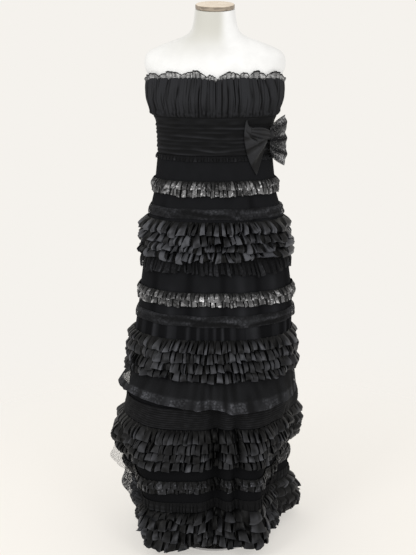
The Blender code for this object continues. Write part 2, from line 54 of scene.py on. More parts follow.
# Plain outline of the gown, from the bust down: half widths and depths from the body's axis.
ROUNDNESS = 2.2
Level = namedtuple("Level", "height right left front back")
GOWN = table(
    Level,
    (1.330, 0.1790, 0.1790, 0.1130, 0.0990),
    (1.310, 0.1790, 0.1790, 0.1130, 0.0990),
    (1.277, 0.1835, 0.1835, 0.1215, 0.0985),
    (1.246, 0.1815, 0.1815, 0.1265, 0.0965),
    (1.214, 0.1710, 0.1710, 0.1190, 0.0930),
    (1.190, 0.1565, 0.1565, 0.1075, 0.0890),
    (1.150, 0.1540, 0.1540, 0.1040, 0.0865),
    (1.103, 0.1530, 0.1530, 0.1030, 0.0865),
    (1.000, 0.1640, 0.1640, 0.1120, 0.1080),
    (0.940, 0.1820, 0.1780, 0.1220, 0.1260),
    (0.860, 0.1950, 0.1900, 0.1300, 0.1380),
    (0.710, 0.2120, 0.2060, 0.1445, 0.1535),
    (0.620, 0.2110, 0.2200, 0.1550, 0.1650),
    (0.500, 0.2170, 0.2360, 0.1670, 0.1800),
    (0.400, 0.2220, 0.2500, 0.1760, 0.1920),
    (0.310, 0.2230, 0.2770, 0.1810, 0.2000),
    (0.220, 0.2150, 0.2580, 0.1870, 0.2070),
    (0.130, 0.2100, 0.2250, 0.1920, 0.2120),
    (0.040, 0.2280, 0.2150, 0.1950, 0.2150),
)
# The skirt's largest folds: where, how far out, half width, and the heights where each starts
# and is full.
Fold = namedtuple("Fold", "angle out spread start full")
FOLDS = table(
    Fold,
    (0, -0.030, 7, 0.50, 0.12),
    (20, -0.018, 5, 0.45, 0.15),
    (38, 0.014, 9, 0.50, 0.20),
    (56, -0.056, 12, 0.50, 0.12),
    (84, -0.056, 11, 0.50, 0.12),
    (112, 0.030, 10, 0.32, 0.06),
    (142, -0.030, 8, 0.50, 0.12),
    (180, -0.020, 9, 0.50, 0.12),
    (-152, -0.026, 8, 0.50, 0.12),
    (-122, -0.032, 10, 0.45, 0.12),
    (-70, -0.024, 8, 0.42, 0.15),
    (-46, 0.026, 11, 0.50, 0.22),
)
# Smaller soft creases of the velvet skirt: angle, out, half width, lower and upper end.
Crease = namedtuple("Crease", "angle out spread foot head")
CREASES = table(
    Crease,
    (-12, 0.0022, 3.0, 0.62, 0.80),
    (9, -0.0020, 2.4, 0.60, 0.92),
    (27, 0.0026, 3.2, 0.52, 0.86),
    (44, -0.0022, 2.2, 0.60, 1.05),
    (57, 0.0020, 3.0, 0.62, 0.98),
    (74, -0.0024, 2.8, 0.50, 0.90),
    (93, 0.0022, 3.4, 0.48, 0.82),
    (118, -0.0022, 2.6, 0.55, 0.95),
    (139, 0.0026, 3.2, 0.50, 0.84),
    (161, -0.0020, 2.4, 0.58, 0.90),
    (-27, -0.0024, 2.6, 0.55, 0.96),
    (-43, 0.0020, 3.0, 0.50, 0.80),
    (-61, -0.0022, 2.4, 0.58, 1.02),
    (-83, 0.0026, 3.4, 0.46, 0.84),
    (-104, -0.0022, 2.8, 0.52, 0.93),
    (-131, 0.0024, 3.0, 0.50, 0.86),
    (-158, -0.0020, 2.6, 0.56, 0.94),
    (103, 0.0230, 9.0, 0.24, 0.50),
)
# Narrow deep folds down the lower skirt, with painted shade inside.
VALLEYS = table(
    Crease,
    (0.5, -0.013, 3.8, 0.05, 0.52),
    (19, -0.010, 2.2, 0.07, 0.48),
    (-73, -0.007, 2.0, 0.06, 0.40),
    (71, -0.008, 2.4, 0.08, 0.44),
    (134, -0.011, 2.4, 0.05, 0.50),
    (176, -0.012, 2.4, 0.06, 0.46),
    (-140, -0.011, 2.4, 0.06, 0.48),
    (-108, -0.009, 2.2, 0.08, 0.44),
)
# Heights where the gown's pieces meet, the gap between two of them, and how far an edge goes
# under its neighbour.
BUST_SEAM = 1.202
WAIST_SEAM = 1.103
SKIRT_HEM = 0.040
SEAM = 0.0003
SEAM_UNDER = 0.003
# Trim lies this far off the skirt at its sewn edge.
LIFT = 0.0022
# Side seams part front and back; the zip parts what it crosses at the centre back.
SIDE_SEAM = 89.985
ZIP_EDGE = 172.5
# The neck's top, which slopes to the front, and the wooden cap on it.
NECK_HEIGHT = 1.4735
NECK_TILT = math.radians(10)
CAP_THICKNESS = 0.012
# Thicknesses of the cloths that show an edge.
VELVET_THICK = 0.0009
CHIFFON_THICK = 0.0007
# Height of the bodice's top edge at angles from the front, alike at both sides.
TOP_EDGE = (
    (0, 1.297), (22.5, 1.304), (52.5, 1.302), (70, 1.300),
    (82, 1.294), (92, 1.287), (135, 1.284), (180, 1.280),
)
# Heights at which the outline is kept, and over how many of them its corners are rounded.
HEIGHTS = np.arange(0.0, 1.40, 0.002)
SMOOTHING = 13
# Lengths over which a crease fades in at its foot and out at its head.
FOOT_FADE = 0.08
HEAD_FADE = 0.10
# Share of the painted light that a valley takes away.
VALLEY_SHADE = 0.8


def mix(low, high, share):
    """Value a share of the way from low to high."""
    return low + (high - low) * share


def eased(share):
    """Share from 0 to 1 with soft ends."""
    share = np.clip(share, 0.0, 1.0)
    return share * share * (3 - 2 * share)


def bump(away, width):
    """Soft hump of one at no distance."""
    return np.exp(-0.5 * (away / width) ** 2)


def turned(angle, centre):
    """How far an angle is from a centre, from -180 to 180."""
    return (angle - centre + 180) % 360 - 180


def swing(times, angle, start=0.0):
    """Even wave that runs a number of times round the gown."""
    return np.sin(np.radians(times * angle + start))


def smoothed(column):
    """One column of the outline at every height, with its corners rounded."""
    rows = np.array(GOWN)[::-1]
    plain = np.interp(HEIGHTS, rows[:, 0], rows[:, column])
    weights = np.hanning(SMOOTHING + 2)[1:-1]
    padded = np.pad(plain, SMOOTHING // 2, mode="edge")
    return np.convolve(padded, weights / weights.sum(), mode="valid")


OUTLINE = [smoothed(column) for column in range(1, 5)]


def oval(turn, right, left, front, back):
    """Radius of a rounded oval at a turn, in radians, with a half width or depth for each side."""
    across = np.sin(turn)
    along = np.cos(turn)
    side = np.where(across > 0, right, left)
    depth = np.where(along > 0, front, back)
    terms = (np.abs(across) / side) ** ROUNDNESS + (np.abs(along) / depth) ** ROUNDNESS
    return terms ** (-1 / ROUNDNESS)


def gown_radius(height, angle):
    """Distance of the plain gown from the axis."""
    radius = oval(np.radians(angle), *(np.interp(height, HEIGHTS, side) for side in OUTLINE))
    for fold in FOLDS:
        grown = np.clip((fold.start - height) / (fold.start - fold.full), 0.0, 1.0)
        radius = radius + fold.out * grown * bump(turned(angle, fold.angle), fold.spread)
    return radius


def crease_share(crease, height, angle):
    """How much of a crease there is at each point, from 0 to 1."""
    foot = eased((height - crease.foot) / FOOT_FADE)
    head = eased((crease.head - height) / HEAD_FADE)
    return foot * head * bump(turned(angle, crease.angle), crease.spread)


def creases(height, angle):
    """Relief of the skirt's soft creases and valleys."""
    return sum(crease.out * crease_share(crease, height, angle) for crease in CREASES + VALLEYS)


def valley_light(height, angle):
    """Painted light left in the valleys, and one outside them."""
    light = np.ones_like(angle)
    for valley in VALLEYS:
        light *= 1 - VALLEY_SHADE * crease_share(valley, height, angle)
    return light


def on_gown(height, angle, out, shade):
    """Points at a distance off the plain gown, and their painted shade."""
    radius = gown_radius(height, angle) + out
    turn = np.radians(angle)
    return radius * np.sin(turn), -radius * np.cos(turn), height, np.clip(shade, 0, 1)


def on_skirt(height, angle, out, shade):
    """Points at a distance off the creased skirt, with painted shade in its valleys."""
    light = np.clip(shade, 0, 1) * valley_light(height, angle)
    return on_gown(height, angle, out + creases(height, angle), light)


def top_edge(angle):
    """Height of the bodice's top edge."""
    angles, heights = zip(*TOP_EDGE)
    return np.interp(np.abs(turned(angle, 0)), angles, heights)


def ripple(x, y, seed, coarse, fine, waves=9):
    """Uneven small waves from about -1 to 1; coarse and fine are wave numbers per metre."""
    draw = np.random.default_rng(seed)
    total = np.zeros_like(x)
    for _ in range(waves):
        heading = draw.uniform(0, math.tau)
        number = draw.uniform(coarse, fine)
        phase = draw.uniform(0, math.tau)
        total += np.sin(number * (x * math.cos(heading) + y * math.sin(heading)) + phase)
    return total / math.sqrt(waves)


def new_mesh(name, bm):
    """Mesh made from a bmesh that is finished."""
    mesh = bpy.data.meshes.new(name)
    bm.to_mesh(mesh)
    bm.free()
    return mesh


def new_object(name, data):
    """Object put in the scene, at the origin."""
    made = bpy.data.objects.new(name, data)
    bpy.context.scene.collection.objects.link(made)
    return made


def add_values(mesh, name, values):
    """A value at each vertex for the materials to read."""
    made = mesh.attributes.new(name, "FLOAT", "POINT")
    made.data.foreach_set("value", np.ascontiguousarray(values, dtype=np.float32))


def make_cloth(name, columns, rows, place, closed=False, thick=0.0, border=0.0, fluted_cloth=False):
    """Sheet of cloth: a grid put where place(across, down) says, both from 0 to 1.

    place gives x, y, z and the painted shade, which is 1 on ridges and 0 in hollows. The UV map is
    in metres of cloth. A border is the share of the sheet above its worked lower edge. Returns the
    piece, its width and its length, which lies between those of its mean and longest rows, because
    a gathered edge holds finer gathers than the grid shows."""
    bm = bmesh.new()
    bmesh.ops.create_grid(bm, x_segments=columns, y_segments=rows, size=0.5)
    mesh = new_mesh(name, bm)
    flat = np.empty(len(mesh.vertices) * 3)
    mesh.vertices.foreach_get("co", flat)
    column = np.rint((flat[0::3] + 0.5) * columns).astype(int)
    row = np.rint((0.5 - flat[1::3]) * rows).astype(int)
    down = row / rows
    x, y, z, shade = (np.broadcast_to(part, row.shape) for part in place(column / columns, down))
    points = np.column_stack((x, y, z))
    mesh.vertices.foreach_set("co", points.ravel())
    add_values(mesh, "shade", shade)
    if border:
        add_values(mesh, "border", eased((down - border) / 0.14) + (down > 0.99))

    grid = points[np.lexsort((column, row))].reshape(rows + 1, columns + 1, 3)
    steps_across = np.linalg.norm(np.diff(grid, axis=1), axis=2)
    steps_down = np.linalg.norm(np.diff(grid, axis=0), axis=2)
    run = np.concatenate(([0.0], np.cumsum(steps_across.mean(axis=0))))
    drop = np.concatenate(([0.0], np.cumsum(steps_down.mean(axis=1))))
    corners = np.empty(len(mesh.loops), dtype=np.int32)
    mesh.loops.foreach_get("vertex_index", corners)
    layer = mesh.uv_layers.new(name="cloth")
    spots = np.column_stack((run[column][corners], -drop[row][corners]))
    layer.data.foreach_set("uv", spots.ravel())
    if fluted_cloth:
        ends = np.empty(len(mesh.edges) * 2, dtype=np.int32)
        mesh.edges.foreach_get("vertices", ends)
        first, second = column[ends].reshape(-1, 2).T
        pressed = (first == second) & np.isin(first % FLUTE_STEPS, FLUTE_CORNERS)
        mesh.attributes.new("sharp_edge", "BOOLEAN", "EDGE").data.foreach_set("value", pressed)
    if closed:
        bm = bmesh.new()
        bm.from_mesh(mesh)
        bmesh.ops.remove_doubles(bm, verts=bm.verts, dist=0.00001)
        bm.to_mesh(mesh)
        bm.free()
    mesh.shade_smooth()
    piece = new_object(name, mesh)
    if thick:
        wall = piece.modifiers.new("wall", "SOLIDIFY")
        wall.thickness = thick
        wall.offset = -1
    lengths = steps_across.sum(axis=1)
    length = float(lengths.mean() + lengths.max()) / 2
    return piece, round(float(drop[-1]), 3), round(length, 3)


def settle(piece, finish, node, material=None):
    """Gives a piece its material and its body, and hides the solid it stands for."""
    piece.data.materials.append(FINISHES[material or finish])
    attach(piece, "root")
    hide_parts(node)


def add_sheet(
    name, columns, rows, place, finish, held, rests_on, node=None, material=None, shaped=None, **cut
):
    """Makes and settles a sheet.

    It stands for the solid of its own name, unless a node is given. shaped, the share of its
    rectangle that its cut fills, is not used."""
    piece, width, length = make_cloth(name, columns, rows, place, **cut)
    settle(piece, finish, node or name, material)


# Materials. Helpers for nodes, then the shared effects, then one function for each finish.


def put(tree, kind, inputs=None, **settings):
    """Adds a shader node. An input is a value or another node's output."""
    made = tree.nodes.new("ShaderNode" + kind)
    for key, value in settings.items():
        setattr(made, key, value)
    for key, value in (inputs or {}).items():
        if isinstance(value, bpy.types.NodeSocket):
            tree.links.new(value, made.inputs[key])
        else:
            made.inputs[key].default_value = value
    return made


def feed(tree, sockets, values):
    """Links outputs to the sockets with their labels."""
    for label, value in values.items():
        tree.links.new(value, sockets[label])


def sums(tree, operation, first, second=0.0):
    """Result of a sum on values or outputs."""
    return put(tree, "Math", {0: first, 1: second}, operation=operation).outputs[0]


def times(tree, first, second):
    """One value times another."""
    return sums(tree, "MULTIPLY", first, second)


def stretch(tree, value, low, high, to_low=0.0, to_high=1.0):
    """Value carried from one range to another, clamped."""
    inputs = {"Value": value, "From Min": low, "From Max": high, "To Min": to_low, "To Max": to_high}
    return put(tree, "MapRange", inputs, interpolation_type="SMOOTHSTEP").outputs[0]


def tint(tree, share, first, second):
    """Colour a share of the way between two."""
    inputs = {0: share, 6: first, 7: second}
    return put(tree, "Mix", inputs, data_type="RGBA").outputs[2]


def noise(tree, vector, scale, detail, distortion=0.0, flat=False):
    """Soft noise from 0 to 1. A flat one is for a UV map."""
    inputs = {"Vector": vector, "Scale": scale, "Detail": detail, "Distortion": distortion}
    dimensions = "2D" if flat else "3D"
    return put(tree, "TexNoise", inputs, noise_dimensions=dimensions).outputs["Fac"]


def cells(tree, vector, randomness, feature="F1"):
    """Flat cells one unit wide: the distance to each, its colour and its place."""
    inputs = {"Vector": vector, "Scale": 1.0, "Randomness": randomness}
    return put(tree, "TexVoronoi", inputs, voronoi_dimensions="2D", feature=feature).outputs


def scaled(tree, vector, factor):
    """Vector times a value or an output."""
    return put(tree, "VectorMath", {0: vector, "Scale": factor}, operation="SCALE").outputs[0]


def parts_of(tree, vector):
    """The three parts of a vector or colour."""
    return put(tree, "SeparateXYZ", {0: vector}).outputs


def bumped(tree, height, strength, distance):
    """Normal of a surface with small relief."""
    inputs = {"Height": height, "Strength": strength, "Distance": distance}
    return put(tree, "Bump", inputs).outputs[0]


def new_group(name, inputs, outputs):
    """Node group with named float inputs, a Vector input and float outputs."""
    tree = bpy.data.node_groups.new(name, "ShaderNodeTree")
    tree.interface.new_socket("Vector", in_out="INPUT", socket_type="NodeSocketVector")
    for label, value in inputs.items():
        socket = tree.interface.new_socket(label, in_out="INPUT", socket_type="NodeSocketFloat")
        socket.default_value = value
    for label in outputs:
        tree.interface.new_socket(label, in_out="OUTPUT", socket_type="NodeSocketFloat")
    return tree, tree.nodes.new("NodeGroupInput").outputs, tree.nodes.new("NodeGroupOutput").inputs


def place_group(tree, group, vector, **values):
    """Puts a shared effect in a material and gives its outputs."""
    return put(tree, "Group", {"Vector": vector, **values}, node_tree=group).outputs


def in_units(tree, given, label):
    """A group's vector, counted in one of its sizes."""
    return scaled(tree, given["Vector"], sums(tree, "DIVIDE", 1.0, given[label]))


def weave_group():
    """Crossed threads: Height of the threads, and slow Cloud over the cloth."""
    tree, given, result = new_group("weave", {"Threads": 1500.0}, ("Height", "Cloud"))
    split = parts_of(tree, scaled(tree, given["Vector"], given["Threads"]))
    height = times(tree, sums(tree, "SINE", split[0]), sums(tree, "SINE", split[1]))
    feed(tree, result, {"Height": height, "Cloud": noise(tree, given["Vector"], 24.0, 3.0)})
    return tree


def net_group():
    """Fine net: Thread is 1 on a thread, 0 in a hole. Width is half a thread's share of a cell."""
    tree, given, result = new_group("net", {"Hole": 0.0016, "Width": 0.14}, ("Thread",))
    away = cells(tree, in_units(tree, given, "Hole"), 0.35, "DISTANCE_TO_EDGE")["Distance"]
    feed(tree, result, {"Thread": sums(tree, "LESS_THAN", away, given["Width"])})
    return tree


def flower_group():
    """Lace flowers, leaves and stems: Solid is 1 where the lace is worked closely."""
    petal_count, petal_reach, petal_swing, eye_reach = 6.0, 0.30, 0.09, 0.11
    tree, given, result = new_group("flowers", {"Flower": 0.020, "Fullness": 1.0}, ("Solid",))
    vector = in_units(tree, given, "Flower")
    flowers = cells(tree, vector, 0.75)
    inputs = {0: vector, 1: flowers["Position"]}
    split = parts_of(tree, put(tree, "VectorMath", inputs, operation="SUBTRACT").outputs[0])
    heading = sums(tree, "ARCTAN2", split[1], split[0])
    petals = sums(tree, "COSINE", times(tree, heading, petal_count))
    reach = sums(tree, "ADD", petal_reach, times(tree, petals, petal_swing))
    away = flowers["Distance"]
    inside = sums(tree, "SUBTRACT", times(tree, reach, given["Fullness"]), away)
    off_eye = sums(tree, "ABSOLUTE", sums(tree, "SUBTRACT", away, eye_reach))
    flower = times(tree, stretch(tree, inside, -0.02, 0.03), stretch(tree, off_eye, 0.015, 0.035))
    field = noise(tree, vector, 1.6, 1.0, flat=True)
    near = sums(tree, "ABSOLUTE", sums(tree, "SUBTRACT", field, 0.5))
    stem = stretch(tree, near, 0.030, 0.012)
    feed(tree, result, {"Solid": sums(tree, "MAXIMUM", flower, stem)})
    return tree


def crumple_group():
    """Crushed metallic cloth: Glint is a painted glint where a facet would catch light, and Height.
    """
    tree, given, result = new_group("crumple", {"Size": 0.006}, ("Glint", "Height"))
    vector = in_units(tree, given, "Size")
    waves = noise(tree, vector, 0.7, 2.0, 0.6, flat=True)
    shine = parts_of(tree, cells(tree, vector, 1.0)["Color"])[0]
    glint = times(tree, stretch(tree, waves, 0.40, 0.66), stretch(tree, shine, 0.15, 0.8))
    height = sums(tree, "ADD", waves, times(tree, shine, 0.4))
    feed(tree, result, {"Glint": glint, "Height": height})
    return tree


WEAVE = weave_group()
NET = net_group()
FLOWERS = flower_group()
CRUMPLE = crumple_group()


# Materials by the names of their finishes.
FINISHES = {}


def new_material(name, roughness, specular=0.5, metallic=0.0, sheen=0.0):
    """Starts a finish with its shader's plain values; returns its tree and its shader's inputs."""
    material = bpy.data.materials.new(name)
    material.use_nodes = True
    tree = material.node_tree
    inputs = tree.nodes["Principled BSDF"].inputs
    inputs["Roughness"].default_value = roughness
    inputs["Specular IOR Level"].default_value = specular
    inputs["Metallic"].default_value = metallic
    inputs["Sheen Weight"].default_value = sheen
    FINISHES[name] = material
    return tree, inputs


def colour(red, green, blue):
    """Opaque colour."""
    return (red, green, blue, 1.0)


def black(value):
    """Colour of the black cloths, a little blue."""
    return colour(value, 1.04 * value, 1.18 * value)


def silver(value):
    """Silvery colour, at full painted light: of the metallic cloth's glints and the close lace's
    flowers.
    """
    return colour(value, 1.01 * value, 1.04 * value)


def cloth_map(tree):
    """The sheet's own UV map, in metres."""
    return put(tree, "UVMap", uv_map="cloth").outputs[0]


def own_place(tree):
    """Place on a piece that has no UV map of its own."""
    return put(tree, "TexCoord").outputs["Object"]


def value_of(tree, name):
    """One of the sheet's own values."""
    return put(tree, "Attribute", attribute_name=name).outputs["Fac"]


def shade_of(tree):
    """The sheet's painted shade, with soft ends."""
    return stretch(tree, value_of(tree, "shade"), 0.0, 1.0)


def woven(name, dark, light, roughness, threads, specular):
    """Plain woven cloth, with painted shade in its hollows and painted light on its ridges."""
    tree, inputs = new_material(name, roughness, specular)
    weave = place_group(tree, WEAVE, cloth_map(tree), Threads=threads)
    cloud = stretch(tree, weave["Cloud"], 0.3, 0.7, 0.85, 1.15)
    feed(tree, inputs, {
        "Base Color": tint(tree, times(tree, shade_of(tree), cloud), dark, light),
        "Roughness": stretch(tree, weave["Cloud"], 0.3, 0.7, roughness - 0.05, roughness + 0.05),
        "Normal": bumped(tree, weave["Height"], 0.25, 0.0002),
    })


def openwork(name, dark, light, hole, width, flower, net_tone, border_width=0.0):
    """Lace or tulle: a net with flowers worked on it, cut out between the threads.

    One with a border width has its flowers along its lower edge alone, on a net with threads of
    that width, and the edge itself is worked closely."""
    tree, inputs = new_material(name, 0.75, 0.08)
    where = cloth_map(tree)
    if border_width:
        border = value_of(tree, "border")
        width = stretch(tree, border, 0.0, 1.0, width, border_width)
    thread = place_group(tree, NET, where, Hole=hole, Width=width)["Thread"]
    solid = place_group(tree, FLOWERS, where, Flower=flower, Fullness=1.1)["Solid"]
    if border_width:
        solid = times(tree, solid, border)
        solid = sums(tree, "MAXIMUM", solid, stretch(tree, border, 1.2, 2.0, 0.0, 0.8))
    mask = sums(tree, "GREATER_THAN", sums(tree, "MAXIMUM", thread, solid), 0.5)
    cloud = place_group(tree, WEAVE, where, Threads=1500.0)["Cloud"]
    flowers = times(tree, solid, stretch(tree, cloud, 0.42, 0.58, 0.30, 1.0))
    worked = stretch(tree, flowers, 0.0, 1.0, net_tone, 1.0)
    if border_width:
        worked = sums(tree, "MAXIMUM", worked, stretch(tree, border, 0.0, 1.0, 0.0, 0.21))
    # Painted shade in the sheet's hollows and painted light on its ridges tint the colour.
    feed(tree, inputs, {
        "Alpha": mask,
        "Base Color": tint(tree, times(tree, worked, shade_of(tree)), dark, light),
        "Normal": bumped(tree, solid, 0.25, 0.0004),
    })


def shiny_organza(name, dark, light, size, sheer=1.0):
    """Crushed metallic organza with painted glints; a sheer one is clearer in its painted light."""
    tree, inputs = new_material(name, 0.30, 0.3, metallic=0.6)
    crumple = place_group(tree, CRUMPLE, cloth_map(tree), Size=size)
    # Painted glints: the crumple's facets lighten the colour as if they caught the light.
    painted_glint = stretch(tree, crumple["Glint"], 0.0, 1.0, 0.22, 1.0)
    feed(tree, inputs, {
        "Base Color": tint(tree, times(tree, painted_glint, shade_of(tree)), dark, light),
        "Roughness": stretch(tree, crumple["Glint"], 0.0, 1.0, 0.5, 0.25),
        "Normal": bumped(tree, crumple["Height"], 0.6, 0.0012),
    })
    if sheer < 1:
        clear = times(tree, shade_of(tree), stretch(tree, painted_glint, 0.2, 0.7, 0.55, 1.0))
        feed(tree, inputs, {"Alpha": stretch(tree, clear, 0.0, 1.0, 1.0, sheer)})


def jersey():
    """Smooth off-white cover of the dress form, greyed by painted shade where its shade is dark."""
    tree, inputs = new_material("form_cover", 0.8, 0.3, sheen=0.1)
    weave = place_group(tree, WEAVE, own_place(tree), Threads=1900.0)
    share = stretch(tree, weave["Cloud"], 0.3, 0.7)
    pale = tint(tree, share, colour(0.76, 0.768, 0.775), colour(0.81, 0.820, 0.828))
    feed(tree, inputs, {
        "Base Color": tint(tree, shade_of(tree), colour(0.54, 0.538, 0.500), pale),
        "Normal": bumped(tree, weave["Height"], 0.15, 0.0002),
    })


def pale_wood():
    """Varnished light wood with its grain along X and a darker edge."""
    tree, inputs = new_material("wood", 0.45)
    where = own_place(tree)
    drawn = put(tree, "Mapping", {0: where, "Scale": (6.0, 60.0, 60.0)}).outputs[0]
    grain = noise(tree, drawn, 3.0, 5.0, 0.8)
    share = stretch(tree, grain, 0.32, 0.68)
    top = tint(tree, share, colour(0.63, 0.53, 0.41), colour(0.82, 0.73, 0.61))
    side = tint(tree, share, colour(0.190, 0.155, 0.120), colour(0.330, 0.275, 0.215))
    upright = (0.0, -math.sin(NECK_TILT), math.cos(NECK_TILT))
    dot = put(tree, "VectorMath", {0: where, 1: upright}, operation="DOT_PRODUCT")
    face = NECK_HEIGHT * math.cos(NECK_TILT) + SEAM + CAP_THICKNESS
    shown = stretch(tree, dot.outputs["Value"], face - 0.0018, face - 0.0004)
    feed(tree, inputs, {
        "Base Color": tint(tree, shown, side, top),
        "Normal": bumped(tree, grain, 0.1, 0.0005),
    })


def brushed_metal(name, dark, light, scratches):
    """Metal brushed round the axis, or along it."""
    tree, inputs = new_material(name, 0.32, 0.5, metallic=1.0)
    drawn = put(tree, "Mapping", {0: own_place(tree), "Scale": scratches}).outputs[0]
    marks = noise(tree, drawn, 4.0, 6.0)
    feed(tree, inputs, {
        "Base Color": tint(tree, stretch(tree, marks, 0.3, 0.7), dark, light),
        "Roughness": stretch(tree, marks, 0.3, 0.7, 0.24, 0.44),
        "Normal": bumped(tree, marks, 0.08, 0.0003),
    })


# Cloths are black. Each one's first colour is its painted shade, in hollows, and its second its
# painted light, on ridges, with organza's painted glints. After the two colours a woven one has its
# roughness, threads and specular, organza the size of its facets and how sheer it is, and openwork
# its hole, thread, flower, the tone of its net, and its threads at a border.
woven("chiffon", black(0.0035), black(0.0200), 0.85, 1700, 0.12)
woven("velvet", black(0.0050), black(0.0260), 0.95, 2500, 0.03)
woven("taffeta", black(0.0008), black(0.0710), 0.42, 1500, 0.12)
woven("satin", black(0.0030), black(0.0160), 0.45, 2400, 0.16)
shiny_organza("organza", black(0.0030), silver(0.680), 0.0065)
# organza_shaded is organza with painted shade and dimmer painted glints, for the frill low down.
shiny_organza("organza_shaded", black(0.0015), black(0.0920), 0.0065)
shiny_organza("organza_sheer", black(0.0080), silver(0.620), 0.0050, 0.36)
openwork("lace", black(0.0050), black(0.0510), 0.0013, 0.30, 0.0080, 0.34)
openwork("lace_close", black(0.0060), silver(0.390), 0.0016, 0.32, 0.0070, 0.06)
openwork("tulle", black(0.0050), black(0.0820), 0.0012, 0.28, 0.0080, 0.10, 0.52)
openwork("tulle_sheer", black(0.0050), black(0.0430), 0.0016, 0.05, 0.0100, 0.42, 0.13)
jersey()
pale_wood()
brushed_metal("steel", colour(0.42, 0.42, 0.43), colour(0.62, 0.62, 0.63), (2, 2, 90))
brushed_metal("black_metal", colour(0.012, 0.012, 0.013), colour(0.050, 0.050, 0.053), (9, 9, 9))


# Bodice: vertical gathers, listed one by one at the front, with smaller ones between them. A gather
# has its angles at the top edge and the lower seam, and the heights of its ends if it stops short.

GATHER_FOOT = 1.19
GATHER_HEAD = 1.32
Gather = namedtuple("Gather", "top foot out spread low high", defaults=(GATHER_FOOT, GATHER_HEAD))
FRONT_GATHERS = table(
    Gather,
    (-84, -85, 0.0010, 1.72),
    (-77, -79, -0.0018, 0.61, 1.19, 1.29),
    (-71, -75, 0.0012, 1.84, 1.21, 1.32),
    (-64, -70, -0.0019, 0.55, 1.19, 1.28),
    (-58, -64, 0.0011, 1.61),
    (-52, -57, -0.0016, 0.50, 1.22, 1.32),
    (-46, -51, 0.0013, 1.72),
    (-40, -45, -0.0019, 0.61, 1.19, 1.29),
    (-34, -38, 0.0010, 2.18),
    (-28, -31, -0.0014, 0.44, 1.21, 1.32),
    (-23, -26, 0.0012, 1.49, 1.19, 1.30),
    (-18, -20, -0.0021, 0.55, 1.19, 1.29),
    (-13, -14.5, 0.0010, 1.61, 1.22, 1.32),
    (-8.5, -9, -0.0016, 0.44, 1.19, 1.28),
    (-4, -4.5, 0.0012, 1.38),
    (1, 0.5, -0.0013, 0.44, 1.23, 1.32),
    (4.5, 4, 0.0013, 1.26),
    (8, 8, -0.0019, 0.50, 1.19, 1.30),
    (11.5, 12, 0.0010, 1.15, 1.21, 1.32),
    (15, 15.5, -0.0022, 0.55, 1.19, 1.29),
    (18.5, 19.5, 0.0012, 1.38),
    (22, 23, -0.0018, 0.50, 1.22, 1.32),
    (26, 28, -0.0021, 0.61, 1.19, 1.29),
    (32, 35, 0.0011, 3.22),
    (39, 43, -0.0014, 0.50, 1.19, 1.28),
    (43, 48, 0.0011, 1.49),
    (47, 53, -0.0018, 0.50, 1.21, 1.32),
    (51, 58, 0.0011, 1.49, 1.19, 1.30),
    (55, 63, -0.0019, 0.55),
    (60, 69, 0.0012, 1.72),
    (65, 74, -0.0016, 0.55, 1.21, 1.31),
    (71, 78, 0.0010, 1.61),
    (77, 83, -0.0014, 0.61, 1.19, 1.29),
    (84, 87, 0.0009, 1.61, 1.21, 1.32),
)


def drawn_gathers(seed, first, last, step, depth, spread):
    """Uneven gathers between two angles, alternately out and in. Most run the whole way."""
    draw = np.random.default_rng(seed)
    gathers = []
    angle = first + step / 2
    sign = 1
    while angle < last:
        low = GATHER_FOOT if draw.random() < 0.7 else draw.uniform(1.20, 1.24)
        high = GATHER_HEAD if draw.random() < 0.7 else draw.uniform(1.26, 1.29)
        out = sign * depth * draw.uniform(0.4, 1.3)
        foot = angle + draw.uniform(-2.0, 2.0)
        wide = spread * draw.uniform(0.7, 1.4) * (1.0 if sign > 0 else 0.6)
        gathers.append(Gather(angle, foot, out, wide, low, high))
        angle += step * draw.uniform(0.7, 1.3)
        sign = -sign
    return tuple(gathers)


GATHERS = (
    FRONT_GATHERS
    + drawn_gathers(11, 94, 168, 4.2, 0.0018, 1.2)
    + drawn_gathers(12, 192, 266, 4.2, 0.0018, 1.2)
    + drawn_gathers(13, -179, 179, 1.35, 0.0013, 0.44)
)
# Height over which the gathers lean from foot to top, and over which each one's ends fade.
GATHER_RUN = 0.10
GATHER_FADE = 0.022
BUST_RADIUS = 0.17
# Fullness just over the bust seam, and the small pits in it.
Swell = namedtuple("Swell", "middle out spread")
PUFF = table(Swell, (1.2095, 0.0036, 0.0045))
PITS = table(Swell, (1.2110, 0.0011, 0.0060))
# The chiffon flares over one height, and has painted shade under the other.
FLARE = 0.0012
FLARE_FOOT = 1.285
BUST_SHADE = 0.62
BUST_SHADE_FOOT = 1.205
# Depths at which the bodice and the waistband go under the piece below.
BUST_UNDER = -0.0014
WAIST_UNDER = -0.0013


def swells(rows, place):
    """Sum of soft humps along a line, each with its middle and half width."""
    return sum(row.out * bump(place - row.middle, row.spread) for row in rows)


def lobes(rows, angle):
    """Sum of soft humps round the gown."""
    return sum(row.out * bump(turned(angle, row.middle), row.spread) for row in rows)


def zip_calm(angle):
    """Nothing beside the zip at the centre back, and one away from it."""
    return eased((np.abs(turned(angle, 180)) - 4.5) / 5.0)


def at_seam(angle):
    """One on the side seams and nothing a little away from them."""
    away = np.minimum(np.abs(turned(angle, 90)), np.abs(turned(angle, -90)))
    return 1 - eased(away / 1.6)


def gather_relief(angle, height):
    """Relief of all the gathers, gone where the zip lies."""
    relief = np.zeros_like(angle)
    share = (height - BUST_SEAM) / GATHER_RUN
    for gather in GATHERS:
        foot = eased((height - gather.low) / GATHER_FADE)
        head = eased((gather.high - height) / GATHER_FADE)
        away = turned(angle, mix(gather.foot, gather.top, share))
        leaning = np.where(away > 0, 1.35, 0.75) * gather.spread
        relief += gather.out * foot * head * bump(away, leaning)
    return relief * zip_calm(angle)


